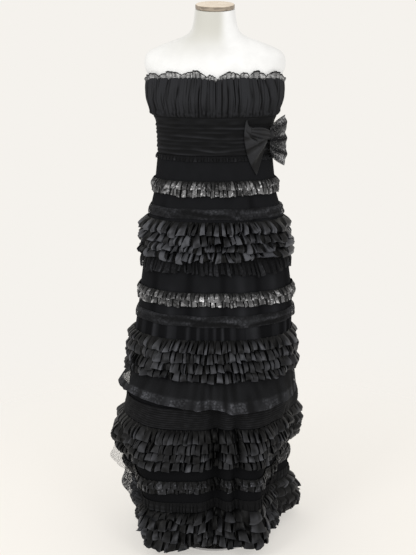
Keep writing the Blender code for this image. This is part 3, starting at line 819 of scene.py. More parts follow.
def add_bodice(name, first, last):
    """Gathered chiffon over the bust, fuller just over its lower seam."""

    def place(across, down):
        angle = mix(first, last, across)
        height = mix(top_edge(angle), BUST_SEAM - SEAM_UNDER, down)
        relief = gather_relief(angle, height)
        pits = ripple(np.radians(angle) * BUST_RADIUS, height, 15, 200, 620) * swells(PITS, height)
        puff = swells(PUFF, height) + FLARE * eased((height - FLARE_FOOT) / 0.015)
        tuck = -0.0016 * eased((0.05 - down) / 0.05) - 0.0012 * at_seam(angle)
        under = eased((BUST_SEAM + 0.003 - height) / 0.003)
        out = mix(relief + tuck + (puff + pits) * zip_calm(angle), BUST_UNDER, under)
        # Painted shade in the gathers' hollows and pits and where the chiffon goes under the
        # waistband.
        shade = np.clip(0.60 + (relief + pits) / 0.0030, 0, 1) * (1 - under)
        shade *= mix(BUST_SHADE, 1.0, eased((height - BUST_SHADE_FOOT) / 0.055))
        return on_gown(height, angle, out, shade)

    add_sheet(name, 560, 36, place, "chiffon", "gathered", ["form_torso"], thick=CHIFFON_THICK)


# Waistband: a plain strip over horizontal drapes that run towards the bow. A drape has its height
# at each of these angles, and its half widths above and below.

DRAPE_ANGLES = (-180, -120, -75, -29, 0, 26, 45, 66, 110, 180)
Drape = namedtuple("Drape", "out above below heights")
DRAPES = table(
    Drape,
    (0.0024, 0.0030, 0.0012,
     (1.177, 1.178, 1.176, 1.1745, 1.1745, 1.174, 1.173, 1.168, 1.175, 1.177)),
    (0.0016, 0.0026, 0.0011,
     (1.167, 1.165, 1.166, 1.1645, 1.163, 1.1625, 1.163, 1.162, 1.164, 1.167)),
    (0.0026, 0.0034, 0.0013,
     (1.154, 1.157, 1.156, 1.1525, 1.148, 1.1465, 1.149, 1.155, 1.156, 1.154)),
    (0.0018, 0.0030, 0.0012,
     (1.141, 1.145, 1.143, 1.1415, 1.1405, 1.1370, 1.139, 1.149, 1.146, 1.141)),
    (0.0014, 0.0028, 0.0011,
     (1.132, 1.131, 1.134, 1.1300, 1.1285, 1.1270, 1.130, 1.143, 1.134, 1.132)),
    (0.0026, 0.0036, 0.0014,
     (1.119, 1.122, 1.120, 1.1205, 1.1130, 1.1170, 1.121, 1.136, 1.124, 1.119)),
    (0.0020, 0.0030, 0.0012,
     (1.109, 1.108, 1.110, 1.1050, 1.1055, 1.1095, 1.107, 1.117, 1.111, 1.109)),
)
STRIP_FOOT = 1.183
STRIP_RISE = 0.0007
WAIST_RADIUS = 0.15


def add_waistband(name, first, last):
    """Draped chiffon between bust and skirt."""

    def place(across, down):
        angle = mix(first, last, across)
        height = mix(BUST_SEAM - SEAM, WAIST_SEAM - SEAM_UNDER, down)
        relief = np.zeros_like(angle)
        for number, drape in enumerate(DRAPES):
            away = height - np.interp(turned(angle, 0), DRAPE_ANGLES, drape.heights)
            swell = 0.72 + 0.28 * np.sin(np.radians((3 + number % 3) * angle) + 1.7 * number)
            relief += swell * drape.out * bump(away, np.where(away > 0, drape.above, drape.below))
        wrinkles = 0.0003 * ripple(np.radians(angle) * WAIST_RADIUS, height * 4, 16, 40, 150)
        relief = (relief + wrinkles) * mix(0.25, 1.0, zip_calm(angle))
        strip = STRIP_RISE * eased((height - STRIP_FOOT) / 0.003)
        ends = -0.0012 * eased((0.03 - down) / 0.03) - 0.0008 * at_seam(angle)
        under = eased((WAIST_SEAM + 0.003 - height) / 0.003)
        out = mix(relief + strip + ends, WAIST_UNDER, under)
        # Painted shade in the drapes' hollows and where it goes under the skirt; painted light on
        # ridges and strip.
        shade = np.clip(0.02 + relief / 0.0038 + 320 * strip, 0, 1) * (1 - under)
        return on_gown(height, angle, out, shade)

    add_sheet(name, 200, 64, place, "chiffon", "draped", ["form_torso"])


# Skirt: matte velvet, plain where bands and frills lie on it, softly pleated over the thigh.

PLEATS = 30
PLEAT_DEPTH = 0.0026
PLEAT_HEAD = 0.672
PLEAT_FOOT = 0.585
PLEAT_FADE = 0.02
# Height under which the velvet may fold at the centre back too, with no zip to hold it flat.
ZIP_CLEAR = 0.93
# The velvet's painted shade is deepest up to one height, and fades away over the other.
SKIRT_SHADE_HEIGHT = 0.18
SKIRT_FADE = 0.45
SKIRT = ["skirt_front", "skirt_back"]


def thigh_pleats(height, angle):
    """Soft upright pleats that show between the middle lace band and the thigh ruffles."""
    life = eased((PLEAT_HEAD - height) / PLEAT_FADE) * eased((height - PLEAT_FOOT) / PLEAT_FADE)
    wander = 3.0 * swing(3, angle, 40) + 2.0 * swing(5, angle)
    wave = np.sin(np.radians(PLEATS * angle) + wander) * (0.65 + 0.35 * swing(11, angle))
    return PLEAT_DEPTH * life * wave


def add_skirt(name, first, last):
    """Velvet front or back, from the waist to the hem."""

    def place(across, down):
        angle = mix(first, last, across)
        height = mix(WAIST_SEAM - SEAM, SKIRT_HEM, down)
        calm = zip_calm(angle) + eased((ZIP_CLEAR - height) / 0.02)
        soft = creases(height, angle)
        pleats = thigh_pleats(height, angle)
        out = (soft + pleats) * np.clip(calm, 0, 1) - 0.0008 * at_seam(angle)
        # Painted light on the pleats' crests, and painted shade in their troughs and the creases.
        painted_pleat_light = 0.45 * np.clip(pleats / PLEAT_DEPTH, 0, 1) ** 2 - 0.20 * (pleats < 0)
        shade = np.clip(0.27 + 0.4 * soft / 0.0044 + painted_pleat_light, 0, 1)
        shade = shade * mix(0.1, 1.0, eased((height - SKIRT_SHADE_HEIGHT) / SKIRT_FADE))
        return on_gown(height, angle, out, shade)

    add_sheet(name, 180, 104, place, "velvet", "hung", ["waistband_front"], thick=VELVET_THICK)


# Ruffles: flutes side by side, each a folded face between two hollows. A row of the table is one
# point seen from above: its place across, from -0.5 to 0.5, and its depth, at the sewn edge and at
# the free edge.

FluteFold = namedtuple("FluteFold", "head head_depth foot foot_depth")
FLUTE = table(
    FluteFold,
    (-0.50, 0.00, -0.50, 0.00),
    (-0.43, 0.04, -0.47, 0.03),
    (-0.35, 0.20, -0.42, 0.22),
    (-0.26, 0.55, -0.40, 0.62),
    (-0.25, 0.86, -0.43, 0.94),
    (-0.13, 1.00, -0.23, 1.05),
    (0.00, 1.03, 0.00, 1.09),
    (0.13, 1.00, 0.23, 1.05),
    (0.25, 0.86, 0.43, 0.94),
    (0.26, 0.55, 0.40, 0.62),
    (0.35, 0.20, 0.42, 0.22),
    (0.43, 0.04, 0.47, 0.03),
    (0.50, 0.00, 0.50, 0.00),
)
FLUTE_TABLE = np.array(FLUTE)
FLUTE_STEPS = len(FLUTE) - 1
# Steps where a face turns into its side folds.
FLUTE_CORNERS = (4, 8)


class Flutes:
    """Uneven widths, depths, slants, curls and painted light of the flutes round one strip."""

    def __init__(self, seed, count, first=-180.0, last=180.0, widest=90.0, widest_by=1.0):
        draw = np.random.default_rng(seed)
        near = bump(turned(np.linspace(first, last, count), widest), 9)
        widths = draw.uniform(0.50, 1.50, count) * mix(1.0, widest_by, near)
        edges = np.concatenate(([0.0], np.cumsum(widths / widths.sum())))
        self.count = count
        self.left = mix(first, last, edges[:-1])
        self.width = (last - first) * np.diff(edges)
        self.depth = np.where(draw.random(count) < 0.14, 0.35, 1.0) * draw.uniform(0.7, 1.25, count)
        drift = np.cumsum(draw.normal(0, 0.5, count))
        drift -= np.linspace(drift[0], drift[-1], count)
        self.slant = np.clip(0.8 * draw.normal(0, 1.0, count) + 0.3 * drift, -2.2, 2.2)
        self.face = draw.uniform(-0.6, 0.6, count)
        self.dish = draw.uniform(-0.75, 0.30, count)
        self.drop = draw.uniform(-1.0, 1.0, count)
        self.tilt = draw.uniform(-1.0, 1.0, count)
        middle = self.left + self.width / 2
        self.side = bump(turned(middle, 90), 13) + bump(turned(middle, -90), 13)
        curled = draw.random(count) < 0.45
        self.curl = np.where(curled, draw.uniform(0.3, 1.0, count), 0.0) * (1 - self.side)
        self.pinch = draw.uniform(0.72, 1.04, count)
        # Painted light of each flute's face: dark, middling or light.
        face_lights = draw.choice((0.20, 0.50, 0.95), count, p=(0.36, 0.38, 0.26))
        self.bright = face_lights * draw.uniform(0.7, 1.1, count)
        self.phase = draw.uniform(0, math.tau, 3)

    def at(self, across):
        """Flute number and step within the flute of each point."""
        step = np.rint(across * self.count * FLUTE_STEPS).astype(int)
        last = step == self.count * FLUTE_STEPS
        number = np.where(last, self.count - 1, step // FLUTE_STEPS)
        return number, np.where(last, FLUTE_STEPS, step % FLUTE_STEPS)

    def angle(self, number, place):
        """Angle of a place within a flute, from -0.5 to 0.5."""
        return self.left[number] + self.width[number] * (place + 0.5)


# What a fluted strip is like: how far it stands off at its free edge and how much that swings, in
# how many waves; how deep its flutes are; how far they lean, in degrees; how uneven the free edge
# is; how far a flute's lip curls out; its tone, which also holds painted shade on the lower tiers;
# how wide its faces are; and how much it is like a petal and not like a brick.
Style = namedtuple(
    "Style", "stand swing waves deep lean uneven curl tone full petal", defaults=(1.0, 1.0)
)
# Parts of a flute's fullness: at its sewn edge, and in front of the strip's own line.
SEWN_SHARE = 0.30
BEHIND = 0.62


def fluted(flutes, across, down, top, hem, style):
    """Height, angle, distance off the skirt and painted shade of a fluted strip."""
    number, inside = flutes.at(across)
    head, head_depth, foot, foot_depth = FLUTE_TABLE[inside].T
    # Plan of each flute, which opens downwards.
    opened = down ** mix(0.4, 1.2, style.petal)
    pinch = mix(1.02, flutes.pinch[number], style.petal)
    place = mix(head, foot * pinch, opened) * style.full
    place = np.where(inside == FLUTE_STEPS, 0.5, np.where(inside == 0, -0.5, place))
    depth = mix(head_depth, foot_depth, opened)
    angle = flutes.angle(number, place)
    turn = np.radians(angle)
    angle = angle + style.lean * down ** 1.3 * flutes.slant[number] * bump(place, 0.45)
    # Uneven free edge.
    long_wave = np.sin(3 * turn + flutes.phase[0]) + 0.8 * np.sin(7 * turn + flutes.phase[1])
    ragged = flutes.drop[number] * bump(place, 0.4) + 1.6 * flutes.tilt[number] * place * depth
    height = mix(top, hem + style.uneven * (ragged + 0.5 * long_wave), down)
    # How far it stands off, with faces that turn and dish.
    wave = np.sin(style.waves * turn + flutes.phase[2])
    hang = 1 - (1 - down) ** 2.2
    off = LIFT + (style.stand + style.swing * wave) * hang
    amount = style.deep * flutes.depth[number] * mix(SEWN_SHARE, 1.0, hang)
    dish = flutes.dish[number] * bump(place, 0.17) * down
    out = off + amount * (depth * (1 + flutes.face[number] * place * 1.8 + 0.6 * dish) - BEHIND)
    # Lips that curl out, and others that roll under, most of all at the sides.
    curl = style.curl * flutes.curl[number] * depth
    side = flutes.side[number]
    under = eased((down - mix(0.72, 0.50, side)) / mix(0.28, 0.50, side))
    roll = mix(0.06 + 0.24 * style.petal, 0.85, side)
    rolled = roll * style.deep * depth * (1 - flutes.curl[number]) * under
    out = out + curl * down ** 4 - rolled
    height = height + 0.6 * curl * down ** 6
    # Painted light and shade: shade in hollows and under the row above, highlights on faces,
    # corners, lips.
    bright = mix(0.55, flutes.bright[number], mix(0.55, 1.0, style.petal))
    lit = bright * (1 + 0.9 * flutes.face[number] * place + 0.7 * dish)
    shade = np.minimum(depth, 1.0) ** mix(2.2, 1.4, style.petal) * lit
    shade = shade * mix(0.24, 1.0, np.clip(down * 1.3, 0, 1))
    shade = shade + 0.20 * np.isin(inside, FLUTE_CORNERS) * down
    shade = shade + 0.30 * (curl > 0) * depth * down ** 6
    return height, angle, np.maximum(out, LIFT * 0.7), np.clip(shade * style.tone, 0, 1)


Tier = namedtuple("Tier", "top hems flutes widest widest_by style")
TIERS = {
    "ruffle_hip": Tier(
        0.934, (0.902, 0.877, 0.857, 0.835), 52, 88, 2.6,
        Style(0.0170, 0.004, 8, 0.0140, 3.0, 0.0052, 0.013, 1.15, 0.94, 0.85)
    ),
    "ruffle_thigh": Tier(
        0.623, (0.594, 0.566, 0.540, 0.516), 76, 88, 1.8,
        Style(0.0155, 0.004, 9, 0.0125, 1.1, 0.0038, 0.009, 0.74, 0.97, 0.45)
    ),
    "ruffle_knee": Tier(
        0.376, (0.344, 0.316, 0.293, 0.270), 84, 88, 1.5,
        Style(0.0165, 0.005, 10, 0.0115, 0.8, 0.0034, 0.006, 0.57, 0.96, 0.2)
    ),
    "ruffle_hem": Tier(
        0.142, (0.119, 0.090, 0.065, 0.042), 70, 25, 2.2,
        Style(0.0170, 0.005, 9, 0.0125, 1.3, 0.0046, 0.010, 0.64, 0.97, 0.5)
    ),
}
TUCK = 0.008
RUFFLE_ROWS = 9
# How much lower the last ruffles hang: two lobes at the front, and one at each side behind.
LOWEST = 0.08
HEM_LOBES = table(
    Swell,
    (-34, 0.00630, 9),
    (27, 0.00990, 8),
    (-3, -0.00405, 11),
    (140, 0.00450, 12),
    (-150, 0.00450, 12),
)
SKIRT_RADIUS = 0.2
CRUSH = 0.0007


def add_tier(tier_name, tier, seed):
    """Rows of taffeta ruffles, each over the sewn edge of the row below."""
    top = tier.top
    for row, hem in enumerate(tier.hems):
        name = "%s_%d" % (tier_name, row + 1)
        widest = tier.widest + 6 * (row % 2)
        flutes = Flutes(seed + row, tier.flutes + row % 3, widest=widest, widest_by=tier.widest_by)

        def place(across, down, top=top, hem=hem, flutes=flutes):
            height, angle, out, shade = fluted(flutes, across, down, top, hem, tier.style)
            if hem < LOWEST:
                height = height - lobes(HEM_LOBES, angle) * down
            # Small crushes, with painted light and shade that follow them.
            crush = ripple(np.radians(angle) * SKIRT_RADIUS, height, seed + row, 120, 480)
            return on_skirt(height, angle, out + CRUSH * crush, shade * (1 + 0.3 * crush))

        add_sheet(
            name, flutes.count * FLUTE_STEPS, RUFFLE_ROWS, place, "taffeta", "gathered", SKIRT,
            closed=True, fluted_cloth=True
        )
        top = hem + TUCK


# Shiny frills: two layers of box-pleated organza.

Frill = namedtuple("Frill", "top hem first last flutes finish")
FRILLS = {
    "shiny_frill_high": Frill(1.037, 1.001, -ZIP_EDGE, ZIP_EDGE, 62, "organza"),
    "shiny_frill_middle": Frill(0.747, 0.713, -180, 180, 78, "organza"),
    "shiny_frill_low": Frill(0.231, 0.200, -180, 180, 86, "organza_shaded"),
}
FRILL_STYLE = Style(0.0062, 0.0014, 9, 0.0056, 0.8, 0.0024, 0.003, 1.0, 0.97, 0.4)
FRILL_RADIUS = 0.18
WRINKLE = 0.0006
# The upper layer starts higher, ends this far down the lower one, lies over it and has more flutes.
Layer = namedtuple("Layer", "ending rise share over more")
LAYERS = table(Layer, ("", 0.0, 1.0, 0.0, 0), ("_upper", 0.0020, 0.52, 0.0016, 5))


def add_frill(name, frill, seed):
    """A long layer and a shorter one over it, sewn along one line."""
    for layer in LAYERS:
        flutes = Flutes(seed + layer.more, frill.flutes + layer.more, frill.first, frill.last)
        # Painted glints: bright flutes in clusters round the frill.
        glint_cluster = 0.62 + 0.38 * np.sin(np.radians(5 * flutes.left) + seed)
        painted_glint = np.random.default_rng(seed + layer.more + 1).random(flutes.count) ** 1.8
        flutes.bright = np.clip(0.07 + 1.45 * painted_glint * glint_cluster, 0, 1.2)

        def place(across, down, layer=layer, flutes=flutes):
            top = frill.top + layer.rise
            hem = mix(frill.top, frill.hem, layer.share)
            height, angle, out, shade = fluted(flutes, across, down, top, hem, FRILL_STYLE)
            along = np.radians(angle) * FRILL_RADIUS
            wrinkles = ripple(along, height, seed + 20 + layer.more, 250, 900, 12)
            out = out + layer.over + WRINKLE * wrinkles
            height = height + WRINKLE * ripple(along, height, seed + 30, 300, 900, 8)
            return on_skirt(height, angle, out, shade)

        add_sheet(
            name + layer.ending, flutes.count * FLUTE_STEPS, 6, place, "organza", "gathered", SKIRT,
            node=name, material=frill.finish, closed=frill.last == 180, fluted_cloth=True
        )


# Lace bands, with long slanting folds: angles and shares of the way down at a fold's two ends, and
# the painted light on it.

BandFold = namedtuple("BandFold", "first last start end light")
BAND_FOLDS = table(
    BandFold,
    (-46, 26, 0.36, 0.86, -0.30),
    (-30, 8, 0.14, 0.30, 0.16),
    (3, 31, 0.26, 0.84, 0.34),
    (22, 66, 0.62, 0.30, 0.30),
    (38, 80, 0.84, 0.60, -0.22),
    (84, 122, 0.30, 0.66, -0.26),
    (100, 146, 0.74, 0.28, 0.28),
    (140, 171, 0.24, 0.70, 0.24),
    (186, 222, 0.70, 0.26, 0.28),
    (206, 252, 0.26, 0.78, -0.28),
    (236, 284, 0.66, 0.34, 0.28),
    (272, 316, 0.24, 0.60, 0.20),
)
Band = namedtuple("Band", "top hem last seed")
LACE_BANDS = {
    "lace_band_high": Band(0.968, 0.9425, ZIP_EDGE, 21),
    "lace_band_middle": Band(0.687, 0.659, 180, 27),
}
# Where a band sags.
BAND_SAGS = table(Swell, (35, 0.0030, 28), (-140, 0.0022, 30))
BAND_RADIUS = 0.19
# Where a band is fuller: the angle, and the half width in degrees.
FULL_ANGLE = 84
FULL_SPREAD = 9
LaceFrill = namedtuple("LaceFrill", "top hem last flutes seed style")
LACE_FRILLS = {
    "waist_lace_edging": LaceFrill(
        1.1022, 1.090, ZIP_EDGE, 90, 71,
        Style(0.0018, 0.0006, 9, 0.0022, 0.4, 0.0012, 0.0, 0.45, 1.0, 0.6)
    ),
    "lace_frill_hip": LaceFrill(
        0.838, 0.797, 180, 74, 75,
        Style(0.0070, 0.0020, 7, 0.0066, 2.0, 0.0050, 0.009, 0.62, 0.95, 0.6)
    ),
}


def band_folds(angle, down, shift):
    """Painted light on a lace band's long folds, from about -0.4 to 0.4."""
    light = np.zeros_like(angle)
    for fold in BAND_FOLDS:
        middle = (fold.first + fold.last) / 2 + shift
        half = (fold.last - fold.first) / 2
        share = turned(angle, middle) / half
        line = mix(fold.start, fold.end, np.clip(0.5 + 0.5 * share, 0, 1))
        light += fold.light * eased((1 - np.abs(share)) / 0.45) * bump(down - line, 0.13)
    return light


def add_lace_band(name, band):
    """Strip of lace that lies on the skirt in long wandering folds, fuller at the bow's side."""

    def place(across, down):
        angle = mix(-band.last, band.last, across)
        hem = band.hem - lobes(BAND_SAGS, angle)
        height = mix(band.top, hem, down) + 0.0010 * swing(9, angle)
        along = np.radians(angle) * BAND_RADIUS
        free = eased(down / 0.16) * eased((1 - down) / 0.12)
        full = bump(turned(angle, FULL_ANGLE), FULL_SPREAD)
        fold = ripple(0.13 * along, height, band.seed, 160, 520)
        fold = fold + 0.6 * full * ripple(along, height, band.seed + 3, 90, 300)
        crinkle = ripple(along, height, band.seed + 1, 120, 420)
        long_folds = band_folds(angle, down, (band.seed - 21) / 2)
        relief = 0.0012 + 0.0010 * fold + 0.0005 * crinkle + 0.0046 * full + 0.0050 * long_folds
        # Painted light and shade on the folds, the crinkles and the fuller part.
        shade = 0.34 + 0.16 * fold + 0.10 * crinkle + 0.25 * full + 1.1 * long_folds
        return on_skirt(height, angle, LIFT + 0.0014 * down + relief * free, shade)

    add_sheet(name, 300, 18, place, "lace", "draped", SKIRT, closed=band.last == 180)


def add_lace_frill(name):
    """Gathered frill of lace."""
    frill = LACE_FRILLS[name]
    flutes = Flutes(frill.seed, frill.flutes, -frill.last, frill.last)

    def place(across, down):
        height, angle, out, shade = fluted(flutes, across, down, frill.top, frill.hem, frill.style)
        return on_skirt(height, angle, out, shade)

    add_sheet(
        name, frill.flutes * FLUTE_STEPS, 5, place, "lace", "gathered", SKIRT,
        closed=frill.last == 180
    )


# Chiffon bands.

Strip = namedtuple("Strip", "top hem")
TUCKED = Strip(0.434, 0.379)
TUCKS = 9
TUCK_DEPTH = 0.0016
PLEATED = Strip(0.171, 0.144)
PLEATED_FLUTES = 120
PLEATED_STYLE = Style(0.0035, 0.0006, 14, 0.0034, 0.3, 0.0010, 0.0, 0.8)


def add_tucked_band():
    """Wide chiffon band sewn in fine level tucks."""

    def place(across, down):
        angle = mix(-180, 180, across)
        wander = 0.0022 * swing(4, angle) + 0.0012 * swing(11, angle, 60)
        height = mix(TUCKED.top, TUCKED.hem, down) + wander * np.sin(math.pi * down)
        saw = (TUCKS * down + 0.15 * swing(7, angle)) % 1.0
        relief = TUCK_DEPTH * saw * np.clip(6 * (1 - down), 0, 1)
        crinkle = 0.0005 * ripple(np.radians(angle) * SKIRT_RADIUS, height * 2, 41, 80, 300)
        out = LIFT + 0.0012 * down + relief + crinkle
        # Painted light on the tucks and crinkles.
        return on_skirt(height, angle, out, 0.62 * saw ** 2 + 180 * crinkle)

    add_sheet("tucked_band", 300, 54, place, "chiffon", "gathered", SKIRT, closed=True)


def add_pleated_band():
    """Chiffon band with level folds above and small gathers along its lower edge."""
    flutes = Flutes(51, PLEATED_FLUTES)

    def place(across, down):
        height, angle, out, shade = fluted(flutes, across, down, *PLEATED, PLEATED_STYLE)
        level = np.sin(math.tau * (2.2 * down + 0.3 * swing(6, angle)))
        out = out + 0.0009 * level * (1 - down)
        # Painted light and shade on the level folds.
        return on_skirt(height, angle, out, shade * (0.6 + 0.3 * level))

    add_sheet(
        "pleated_band", PLEATED_FLUTES * FLUTE_STEPS, 9, place, "chiffon", "gathered", SKIRT,
        closed=True
    )


# Tulle flounce, with a lace border that hangs free in scallops, and the flap at the left.

FLOUNCE_TOP = 0.513
FLOUNCE_OUT = 0.0276
FLOUNCE_SCALLOP = 0.0020
FLOUNCE_FOLDS = 13
FLOUNCE_CREASES = 31
FLOUNCE_HEMS = (
    (-180, 0.446), (-140, 0.438), (-105, 0.452), (-65, 0.462), (-35, 0.450), (-14, 0.440),
    (0, 0.445), (14, 0.430), (32, 0.433), (55, 0.438), (85, 0.442), (120, 0.436), (150, 0.444),
    (180, 0.446),
)
FLAP = Strip(0.262, 0.116)
FLAP_FIRST = -112.5
FLAP_LAST = -67.5
FLAP_SCALLOP = 0.004
FLAP_FOLDS = 24
# The flap bulges in a loop under the knee ruffles and in a lobe below it.
FLAP_BULGES = table(Swell, (0.236, 0.0330, 0.015), (0.142, 0.0330, 0.026))


def add_flounce():
    """Sheer flounce: upright folds from its seam, standing off more at its hem."""

    def place(across, down):
        angle = mix(-180, 180, across)
        free = 1 - 0.5 * bump(turned(angle, 90), 25)
        scallop = np.abs(np.sin(np.radians(FLOUNCE_FOLDS * angle) + 0.8 * swing(4, angle)))
        hem = np.interp(angle, *zip(*FLOUNCE_HEMS)) + FLOUNCE_SCALLOP * scallop
        height = mix(FLOUNCE_TOP, hem, down)
        wander = 3.0 * swing(2, angle, 20) + 2.0 * swing(5, angle)
        fold = np.sin(np.radians(FLOUNCE_FOLDS * angle) + wander)
        crease = np.sin(np.radians(FLOUNCE_CREASES * angle) + 2 * wander)
        out = LIFT + FLOUNCE_OUT * free * down ** 0.9
        crinkle = ripple(np.radians(angle) * SKIRT_RADIUS, 0.3 * height, 45, 90, 330)
        free_folds = 0.0012 * fold + 0.0009 * crease + 0.0007 * crinkle
        out += free_folds * np.clip(0.3 + down, 0, 1) * np.clip(down * 6, 0, 1)
        # Painted light and shade on the folds and crinkles.
        shade = 0.48 + 0.10 * fold + 0.16 * crease + 0.16 * crinkle
        return on_gown(height, angle, np.maximum(out, LIFT), shade)

    add_sheet(
        "tulle_flounce", 420, 26, place, "tulle", "gathered", ["ruffle_thigh_4"],
        closed=True, border=0.58
    )


def add_flap():
    """Flap at the left: sheer where it bulges out under the ruffles, and lace below."""

    def place(across, down):
        angle = mix(FLAP_FIRST, FLAP_LAST, across)
        height = mix(*FLAP, down) + FLAP_SCALLOP * np.abs(swing(18, angle)) * down
        fold = np.sin(np.radians(FLAP_FOLDS * angle) + 1.5 * down)
        bulge = swells(FLAP_BULGES, height) + 0.004 + 0.0026 * fold
        out = LIFT + bulge * np.clip(down * 9, 0, 1)
        edge = eased(np.minimum(across, 1 - across) / 0.16)
        out = mix(LIFT + 0.001, out, mix(0.25, 1.0, edge))
        # Painted light and shade on the folds.
        return on_gown(height, angle, out, 0.5 + 0.4 * fold)

    add_sheet(
        "lace_flap_left", 110, 60, place, "lace", "gathered", SKIRT,
        material="tulle_sheer", border=0.40
    )


# Frill on the top edge, in humps between the stitches that hold it down. Each stitch has the height
# of the hump that follows it.

TRIM_HUMPS = (
    (-172.5, 0.011), (-150, 0.013), (-124, 0.010), (-103, 0.014), (-84, 0.011), (-62, 0.013),
    (-38, 0.0135), (-10, 0.0085), (2, 0.0010), (5, 0.0120), (29, 0.0090), (39, 0.0150),
    (56, 0.0135), (80, 0.0110), (98, 0.013), (121, 0.010), (139, 0.013), (158, 0.011), (172.5, 0.0),
)
TRIM_LOOPS = 70
# How far the trim's sewn edge lies under the bodice's top edge, and its least height over it.
TRIM_SEWN = 0.004
TRIM_LEAST = 0.0016
# Strength of the painted light on the trim's loops.
TRIM_LIGHT = 1.55


def add_top_trim():
    """Sheer metallic frill that stands up from the bodice's edge in small loops."""
    flutes = Flutes(61, TRIM_LOOPS, -ZIP_EDGE, ZIP_EDGE)
    flutes.bright = 0.45 + 0.4 * flutes.bright
    stitches, humps = np.array(TRIM_HUMPS).T

    def place(across, down):
        number, inside = flutes.at(across)
        head, _, foot, depth = FLUTE_TABLE[inside].T
        rise = 1 - down
        spot = mix(head, foot, rise)
        angle = flutes.angle(number, spot)
        gap = np.clip(np.searchsorted(stitches, angle) - 1, 0, len(stitches) - 2)
        share = np.clip((angle - stitches[gap]) / (stitches[gap + 1] - stitches[gap]), 0, 1)
        arch = 0.0020 * flutes.drop[number] + 0.0018 * np.cos(math.pi * spot)
        hump = humps[gap] * np.sin(math.pi * share) ** 0.5 + arch * (humps[gap] > 0.005)
        low_side = 1 - 0.6 * bump(np.abs(turned(angle, 0)) - 90, 7)
        height = top_edge(angle) - TRIM_SEWN + (TRIM_LEAST + hump * low_side + TRIM_SEWN) * rise
        out = -0.0012 + 0.0042 * rise + 0.0044 * (depth - 0.5) * (0.35 + 0.65 * rise)
        out += 0.0008 * ripple(np.radians(angle) * FRILL_RADIUS, height, 63, 200, 700) * rise
        # Painted light on the loops, less in their hollows, and none on the opaque rolled edge at
        # the top.
        light = flutes.bright[number] * np.clip(0.45 + 0.7 * depth, 0, 1) * (rise < 0.86)
        return on_gown(height, angle, out, light * TRIM_LIGHT)

    add_sheet(
        "top_trim", TRIM_LOOPS * FLUTE_STEPS, 8, place, "organza", "gathered",
        ["bodice_front", "bodice_back"], material="organza_sheer"
    )


# Bow: a hanging satin leaf, a short drape over its head, the knot, and a lace loop past it.

KNOT_ANGLE = 68.25
KNOT_HEIGHT = 1.155
KNOT_OUT = 0.0105
KNOT_RADII = (0.0105, 0.0085, 0.0140)
# The leaf's outline down its height: angles of its left and right edges, and how far it stands off.
LeafLevel = namedtuple("LeafLevel", "height left right out")
LEAF = table(
    LeafLevel,
    (1.197, 38.6, 39.6, 0.0030),
    (1.189, 37.9, 40.2, 0.0070),
    (1.180, 37.2, 42.0, 0.0100),
    (1.172, 36.8, 52.0, 0.0120),
    (1.162, 36.6, 63.0, 0.0130),
    (1.150, 36.8, 65.0, 0.0140),
    (1.138, 37.4, 64.6, 0.0145),
    (1.120, 39.2, 62.0, 0.0140),
    (1.100, 41.8, 59.0, 0.0120),
    (1.080, 45.0, 56.0, 0.0095),
    (1.064, 48.3, 53.2, 0.0075),
    (1.054, 50.6, 51.4, 0.0060),
)
# Folds of the leaf that spread from the knot: the heading of each, in degrees over level.
LEAF_FOLDS = table(
    Swell,
    (-18, 0.0030, 5),
    (-31, -0.0034, 4),
    (-46, 0.0030, 8),
    (-61, -0.0060, 6),
    (-78, 0.0036, 5),
    (8, 0.0016, 6),
    (-4, -0.0026, 4),
)
# A groove that slants down over the leaf's head, from one height to the other, and a ridge
# under it.
HEAD_SLANT = (1.166, 1.136)
HEAD_GROOVE = table(Swell, (0.0, -0.0030, 0.0034))
HEAD_RIDGE = table(Swell, (-0.008, 0.0020, 0.0050))
# Width of a degree at the bow.
DEGREE_WIDTH = 0.0024
# Share of a bow piece's width that is turned under at each side.
TURNED_UNDER = 0.06
# The short drape at its free end and at the knot: the angles, the heights of its two edges, and
# how far it stands off.
DRAPE_ENDS = (42.5, 65.5)
DRAPE_HEAD = (1.1765, 1.1660)
DRAPE_FOOT = (1.1600, 1.1430)
DRAPE_OUT = 0.0118


def rolled_edges(across):
    """Place across the face of a bow piece, and how far its edge is rolled under, from 0 to 1."""
    share = np.clip((across - TURNED_UNDER) / (1 - 2 * TURNED_UNDER), 0, 1)
    under = np.clip(1 - np.minimum(across, 1 - across) / TURNED_UNDER, 0, 1)
    return 0.5 - 0.5 * np.cos(math.pi * share), under


def add_leaf():
    """Satin loop that hangs flat like a leaf, with folds that spread from the knot."""
    heights, *outline = np.array(LEAF)[::-1].T

    def place(across, down):
        height = mix(heights[-1], heights[0], down)
        left, right, off = (np.interp(height, heights, column) for column in outline)
        share, under = rolled_edges(across)
        angle = mix(left, right, share)
        angle = mix(angle, 0.5 * (left + right), 0.10 * under)
        rounded = np.sin(math.pi * share) ** 0.45
        x_off = (angle - KNOT_ANGLE) * DEGREE_WIDTH
        z_off = height - KNOT_HEIGHT
        away = np.hypot(x_off, z_off)
        folds = swells(LEAF_FOLDS, np.degrees(np.arctan2(z_off, -x_off)))
        relief = folds * eased((away - 0.012) / 0.03) * eased((0.118 - away) / 0.05)
        slant = height - mix(*HEAD_SLANT, (share - 0.08) / 0.50)
        relief += swells(HEAD_GROOVE, slant) * eased(share / 0.1) * eased((0.62 - share) / 0.15)
        relief += swells(HEAD_RIDGE, slant) * eased((0.62 - share) / 0.2)
        out = mix(off * (0.45 + 0.55 * rounded) + relief * rounded, 0.0034, under)
        # Painted light and shade on the folds, and painted shade where the edges turn under.
        return on_gown(height, angle, out, np.clip(0.58 + relief / 0.0034, 0, 1) * (1 - under))

    add_sheet("bow_satin_tail", 72, 70, place, "satin", "draped", ["waistband_front"], shaped=0.6)


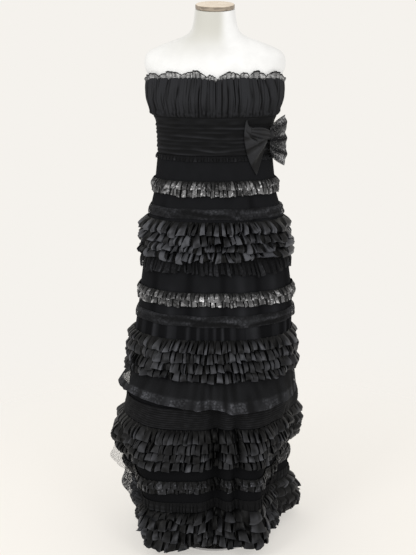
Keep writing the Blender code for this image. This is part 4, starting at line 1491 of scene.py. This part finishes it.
def add_drape():
    """Short satin loop laid level over the leaf's head, pleated into the knot."""

    def place(across, down):
        share, under = rolled_edges(across)
        angle = mix(*DRAPE_ENDS, share) + 0.8 * under * (1 - 2 * share)
        head = mix(*DRAPE_HEAD, share ** 1.6) + 0.0035 * np.sin(math.pi * share)
        foot = mix(*DRAPE_FOOT, share) - 0.0040 * np.sin(math.pi * share)
        height = mix(head, foot, down)
        rounded = np.sin(math.pi * share) ** 0.4
        pleats = np.sin(math.tau * (2.4 * down + 0.25 * share) + 0.6)
        relief = 0.0016 * pleats * np.sin(math.pi * down) ** 0.4
        edge = np.sin(math.pi * down) ** 0.5
        out = DRAPE_OUT + (0.0010 + 0.0062 * rounded * edge + relief * rounded) * (1 - under)
        # Painted light and shade on the pleats, and painted shade where the edges turn under.
        return on_gown(height, angle, out, np.clip(0.6 + relief / 0.004, 0, 1) * (1 - under))

    add_sheet("bow_satin_loop", 60, 30, place, "satin", "folded", ["bow_knot"])


def knot_spot():
    """Middle of the knot."""
    x, y, z, _ = on_gown(np.array([KNOT_HEIGHT]), np.array([KNOT_ANGLE]), KNOT_OUT, 0)
    return Vector((float(x[0]), float(y[0]), float(z[0])))


def add_knot():
    """Satin wrapped round the bow's middle, creased from top to bottom."""
    bm = bmesh.new()
    bmesh.ops.create_uvsphere(bm, u_segments=48, v_segments=24, radius=1.0)
    for vert in bm.verts:
        turn = math.atan2(vert.co.x, -vert.co.y)
        squeeze = 1 - abs(vert.co.z) ** 3 * 0.25
        wrap = 1 + 0.09 * math.sin(7 * turn + 2.0 * vert.co.z) * (1 - vert.co.z ** 2)
        vert.co.x *= squeeze * wrap
        vert.co.y *= squeeze * wrap
    bmesh.ops.scale(bm, vec=KNOT_RADII, verts=bm.verts)
    bmesh.ops.rotate(bm, matrix=Matrix.Rotation(math.radians(KNOT_ANGLE), 3, "Z"), verts=bm.verts)
    bmesh.ops.translate(bm, vec=knot_spot(), verts=bm.verts)
    mesh = new_mesh("bow_knot", bm)
    add_values(mesh, "shade", [0.6] * len(mesh.vertices))
    mesh.shade_smooth()
    layer = mesh.uv_layers.new(name="cloth")
    for loop in mesh.loops:
        spot = mesh.vertices[loop.vertex_index].co
        layer.data[loop.index].uv = (spot.x + spot.y, spot.z)
    piece = new_object("bow_knot_wrap", mesh)
    settle(piece, "satin", "bow_knot")


# The lace loop: its tip, seen from above; the heights of its two edges at the knot and at the
# tip; and its reach at shares of the way down.
LACE_TIP = Vector((0.190, -0.015))
LACE_HEAD = (1.173, 1.206)
LACE_FOOT = (1.112, 1.066)
LACE_REACH = (
    (0.0, 0.92), (0.14, 0.97), (0.26, 0.97), (0.34, 0.95), (0.62, 1.0), (0.85, 0.99), (1.0, 0.86),
)


def add_lace_loop():
    """Lace loop that fans out past the knot, pleated where it goes into it."""
    middle = knot_spot().xy
    heading = (LACE_TIP - middle).normalized()
    root = middle - heading * KNOT_RADII[0] * 0.3
    sideways = Vector((-heading.y, heading.x))
    reach = (LACE_TIP - root).length

    def place(across, down):
        share = 0.5 - 0.5 * np.cos(math.tau * across)
        front = np.sin(math.tau * across)
        along = share * np.interp(down, *zip(*LACE_REACH))
        head = mix(*LACE_HEAD, along ** 0.9)
        foot = mix(*LACE_FOOT, along ** 0.6)
        height = mix(head, foot, down)
        pleats = np.sin(math.tau * 3.5 * down + 0.8) + 0.5 * np.sin(math.tau * 6.2 * down)
        thickness = 0.0085 * np.sin(math.pi * share) ** 0.7 * (0.5 + 0.5 * np.sin(math.pi * down))
        sweep = 0.0024 * pleats * np.clip(along * 2.2, 0, 1)
        side = np.where(front > 0, -1, 1) * (thickness + 0.0006) + sweep
        x = root.x + heading.x * reach * along + sideways.x * side
        y = root.y + heading.y * reach * along + sideways.y * side
        # Painted light and shade: darker near the knot and between the lobes, lighter on the lower
        # lobe.
        lower = mix(0.85, 1.25, eased((down - 0.48) / 0.12)) * (1 - 0.45 * bump(down - 0.45, 0.06))
        light = (0.5 + 0.3 * pleats) * lower * mix(0.35, 1.1, eased((along - 0.2) / 0.5))
        return x, y, height, np.clip(light, 0, 1)

    add_sheet(
        "bow_lace_loop", 64, 48, place, "lace", "folded", ["bow_knot"],
        material="lace_close", closed=True
    )


# Zip down the centre back: half its tape's angle, and the pitch of its teeth.

ZIP = Strip(1.2785, 0.942)
TAPE_HALF = 4.1
TOOTH_PITCH = 0.0022


def add_zip_tape():
    """Tape with a fine raised line where its two sides meet."""

    def place(across, down):
        angle = mix(-TAPE_HALF, TAPE_HALF, across)
        height = mix(*ZIP, down)
        line = bump(angle, 0.35) * (0.6 + 0.4 * np.sin(math.tau * height / TOOTH_PITCH))
        groove = bump(np.abs(angle) - 1.0, 0.25)
        out = 0.0006 + 0.0007 * line - 0.0003 * groove
        # Painted light on the raised line and painted shade in the grooves.
        return on_gown(height, 180 + angle, out, 0.5 + 0.5 * line - 0.4 * groove)

    add_sheet("zip_tape", 28, 460, place, "chiffon", "stretched", ["bodice_back", "skirt_back"])


# Dress form.

FormLevel = namedtuple("FormLevel", "height side front back")
NECK_TOP = FormLevel(NECK_HEIGHT, 0.0520, 0.050, 0.052)
FORM_TOP = table(
    FormLevel,
    (1.4700, 0.0524, 0.0503, 0.0524),
    (1.4500, 0.0545, 0.0500, 0.0540),
    (1.4300, 0.0580, 0.0500, 0.0570),
    (1.4100, 0.0665, 0.0520, 0.0610),
    (1.3980, 0.0980, 0.0550, 0.0660),
    (1.3840, 0.1400, 0.0620, 0.0730),
    (1.3710, 0.1700, 0.0740, 0.0830),
    (1.3600, 0.1820, 0.0860, 0.0920),
    (1.3450, 0.1870, 0.0980, 0.0990),
    (1.3220, 0.1860, 0.1080, 0.1000),
)
# How far the form stays inside the gown at some heights, and the ends and number of its rings
# there.
FORM_EASES = ((0.860, 0.0155), (0.940, 0.0105), (1.000, 0.0060), (1.103, 0.0034), (1.310, 0.0030))
FORM_GOWN_ENDS = (1.310, 0.860)
FORM_GOWN_RINGS = 23
FORM_HIPS = table(
    FormLevel,
    (0.780, 0.166, 0.112, 0.122),
    (0.710, 0.159, 0.107, 0.115),
    (0.6925, 0.152, 0.100, 0.108),
    (0.690, 0.140, 0.090, 0.098),
)
FORM_COLUMNS = 48
# The neck's painted shade is deepest at this angle, down to one height, and fades over the other.
NECK_SHADE_ANGLE = -14
NECK_SHADE_HEIGHT = 1.436
NECK_FADE = 0.110


def form_ring(level, angle):
    """Radius round one level of the form."""
    return oval(np.radians(angle), level.side, level.side, level.front, level.back)


def neck_shade(height, angle):
    """Painted shade: down the neck's middle, less at its sides, and a little at the chest's left."""
    middle = 0.04 + 0.96 * eased((NECK_SHADE_HEIGHT - height) / NECK_FADE)
    away = turned(angle, NECK_SHADE_ANGLE)
    side = np.where(away > 0, eased((away - 18) / 40), 0.55 * eased((-away - 30) / 40))
    side = np.where(np.abs(away) > 110, 0.7, side)
    shade = mix(middle, 1.0, side)
    return shade * (1 - 0.16 * bump(turned(angle, -50), 30) * eased((1.40 - height) / 0.04))


def torso_rings(turns):
    """Rings of the torso from the neck down: the height, radii and tilt of each."""
    neck = form_ring(NECK_TOP, turns)
    rings = [(NECK_TOP.height, share * neck, NECK_TILT) for share in (0.0, 0.96, 1.0)]
    for number, level in enumerate(FORM_TOP):
        tilt = NECK_TILT * max(0.0, 0.9 - 0.45 * number)
        rings.append((level.height, form_ring(level, turns), tilt))
    for height in np.linspace(*FORM_GOWN_ENDS, FORM_GOWN_RINGS):
        ease = np.interp(height, *zip(*FORM_EASES))
        rings.append((height, gown_radius(np.full_like(turns, height), turns) - ease, 0.0))
    rings += [(level.height, form_ring(level, turns), 0.0) for level in FORM_HIPS]
    rings.append((FORM_HIPS[-1].height, 0.0 * turns, 0.0))
    return rings


def add_torso():
    """Smooth jersey-covered torso without limbs, closed at the neck and the hips."""
    turns = np.arange(FORM_COLUMNS + 1) * 360.0 / FORM_COLUMNS - 180
    heights, radii, tilts = (np.array(part) for part in zip(*torso_rings(turns)))
    rows = len(heights) - 1

    def place(across, down):
        row = np.rint(down * rows).astype(int)
        column = np.rint(across * FORM_COLUMNS).astype(int)
        radius = radii[row, column]
        turn = np.radians(turns[column])
        x, y = radius * np.sin(turn), -radius * np.cos(turn)
        return x, y, heights[row] + y * np.tan(tilts[row]), neck_shade(heights[row], turns[column])

    piece, _, _ = make_cloth("form_torso_cover", FORM_COLUMNS, rows, place, closed=True)
    smooth = piece.modifiers.new("smooth", "SUBSURF")
    smooth.levels = smooth.render_levels = 2
    settle(piece, "form_cover", "form_torso")


# Better materials on the solids that stay.
HARD_PARTS = {
    "wood": ("form_neck_cap",),
    "steel": ("form_flange", "form_pole", "form_collar", "form_base"),
    "black_metal": ("zip_slider", "zip_pull"),
}


def finish_hard_parts():
    """Puts those materials in the solids' slots."""
    for finish, nodes in HARD_PARTS.items():
        for node in nodes:
            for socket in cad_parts[node].material_slots:
                socket.material = FINISHES[finish]


# Camera, floor and light. The camera stands where the photograph's did: at neck height, looking a
# little down. Its lens and shift are counted in the photograph's pixels.

PHOTO_HEIGHT = 555
FOCAL_PIXELS = 1000
SHIFT_PIXELS = -7
SENSOR = 36
CAMERA_SPOT = (0, -2.68, 1.42)
LOOKING_DOWN = 13.9
BACKDROP = (0.913, 0.888, 0.847)
FLOOR_RADIUS = 2.2
# The floor is whole up to the first distance and gone at the second.
FLOOR_WHOLE = 0.45
FLOOR_GONE = 2.0
SoftBox = namedtuple("SoftBox", "x y z watts")
SOFT_BOXES = table(SoftBox, (-1.9, -2.6, 2.3, 34), (1.7, -2.9, 2.0, 22))
AIM = Vector((0, 0, 0.9))


def add_camera():
    """Camera at the photograph's place."""
    data = bpy.data.cameras.new("camera")
    data.sensor_width = SENSOR
    data.lens = SENSOR * FOCAL_PIXELS / PHOTO_HEIGHT
    data.shift_x = SHIFT_PIXELS / PHOTO_HEIGHT
    camera = new_object("camera", data)
    camera.location = CAMERA_SPOT
    camera.rotation_euler = (math.radians(90 - LOOKING_DOWN), 0, 0)
    bpy.context.scene.camera = camera


def add_floor():
    """Pale floor that fades into the backdrop's colour."""
    bm = bmesh.new()
    bmesh.ops.create_circle(bm, cap_ends=True, segments=96, radius=FLOOR_RADIUS)
    mesh = new_mesh("floor", bm)
    floor = new_object("floor", mesh)
    tree, inputs = new_material("floor", 0.9, 0.0)
    away = put(tree, "VectorMath", {0: own_place(tree)}, operation="LENGTH").outputs["Value"]
    inputs["Base Color"].default_value = colour(*(0.53 * part for part in BACKDROP))
    inputs["Emission Color"].default_value = colour(*BACKDROP)
    inputs["Emission Strength"].default_value = 0.5
    feed(tree, inputs, {"Alpha": stretch(tree, away, FLOOR_GONE, FLOOR_WHOLE)})
    mesh.materials.append(FINISHES["floor"])


def add_light():
    """Even pale surroundings with a soft box at each side in front."""
    scene = bpy.context.scene
    scene.view_settings.view_transform = "Standard"
    scene.world = bpy.data.worlds.new("studio")
    scene.world.use_nodes = True
    inputs = scene.world.node_tree.nodes["Background"].inputs
    inputs["Color"].default_value = colour(*BACKDROP)
    inputs["Strength"].default_value = 1.0
    for number, box in enumerate(SOFT_BOXES):
        data = bpy.data.lights.new("soft_box_%d" % number, "AREA")
        data.shape = "RECTANGLE"
        data.size = 1.1
        data.size_y = 1.6
        data.energy = box.watts
        light = new_object(data.name, data)
        light.location = (box.x, box.y, box.z)
        light.rotation_euler = (AIM - light.location).to_track_quat("-Z", "Y").to_euler()


add_camera()
add_floor()
add_light()
for make, label in ((add_bodice, "bodice_"), (add_waistband, "waistband_"), (add_skirt, "skirt_")):
    make(label + "front", -SIDE_SEAM, SIDE_SEAM)
    make(label + "back", 180 - SIDE_SEAM, 180 + SIDE_SEAM)
add_top_trim()
add_lace_frill("waist_lace_edging")
for number, (name, frill) in enumerate(FRILLS.items()):
    add_frill(name, frill, 80 + 10 * number)
for name, band in LACE_BANDS.items():
    add_lace_band(name, band)
add_lace_frill("lace_frill_hip")
for number, (name, tier) in enumerate(TIERS.items()):
    add_tier(name, tier, 100 + 10 * number)
add_tucked_band()
add_pleated_band()
add_flounce()
add_flap()
add_leaf()
add_drape()
add_knot()
add_lace_loop()
add_zip_tape()
add_torso()
finish_hard_parts()
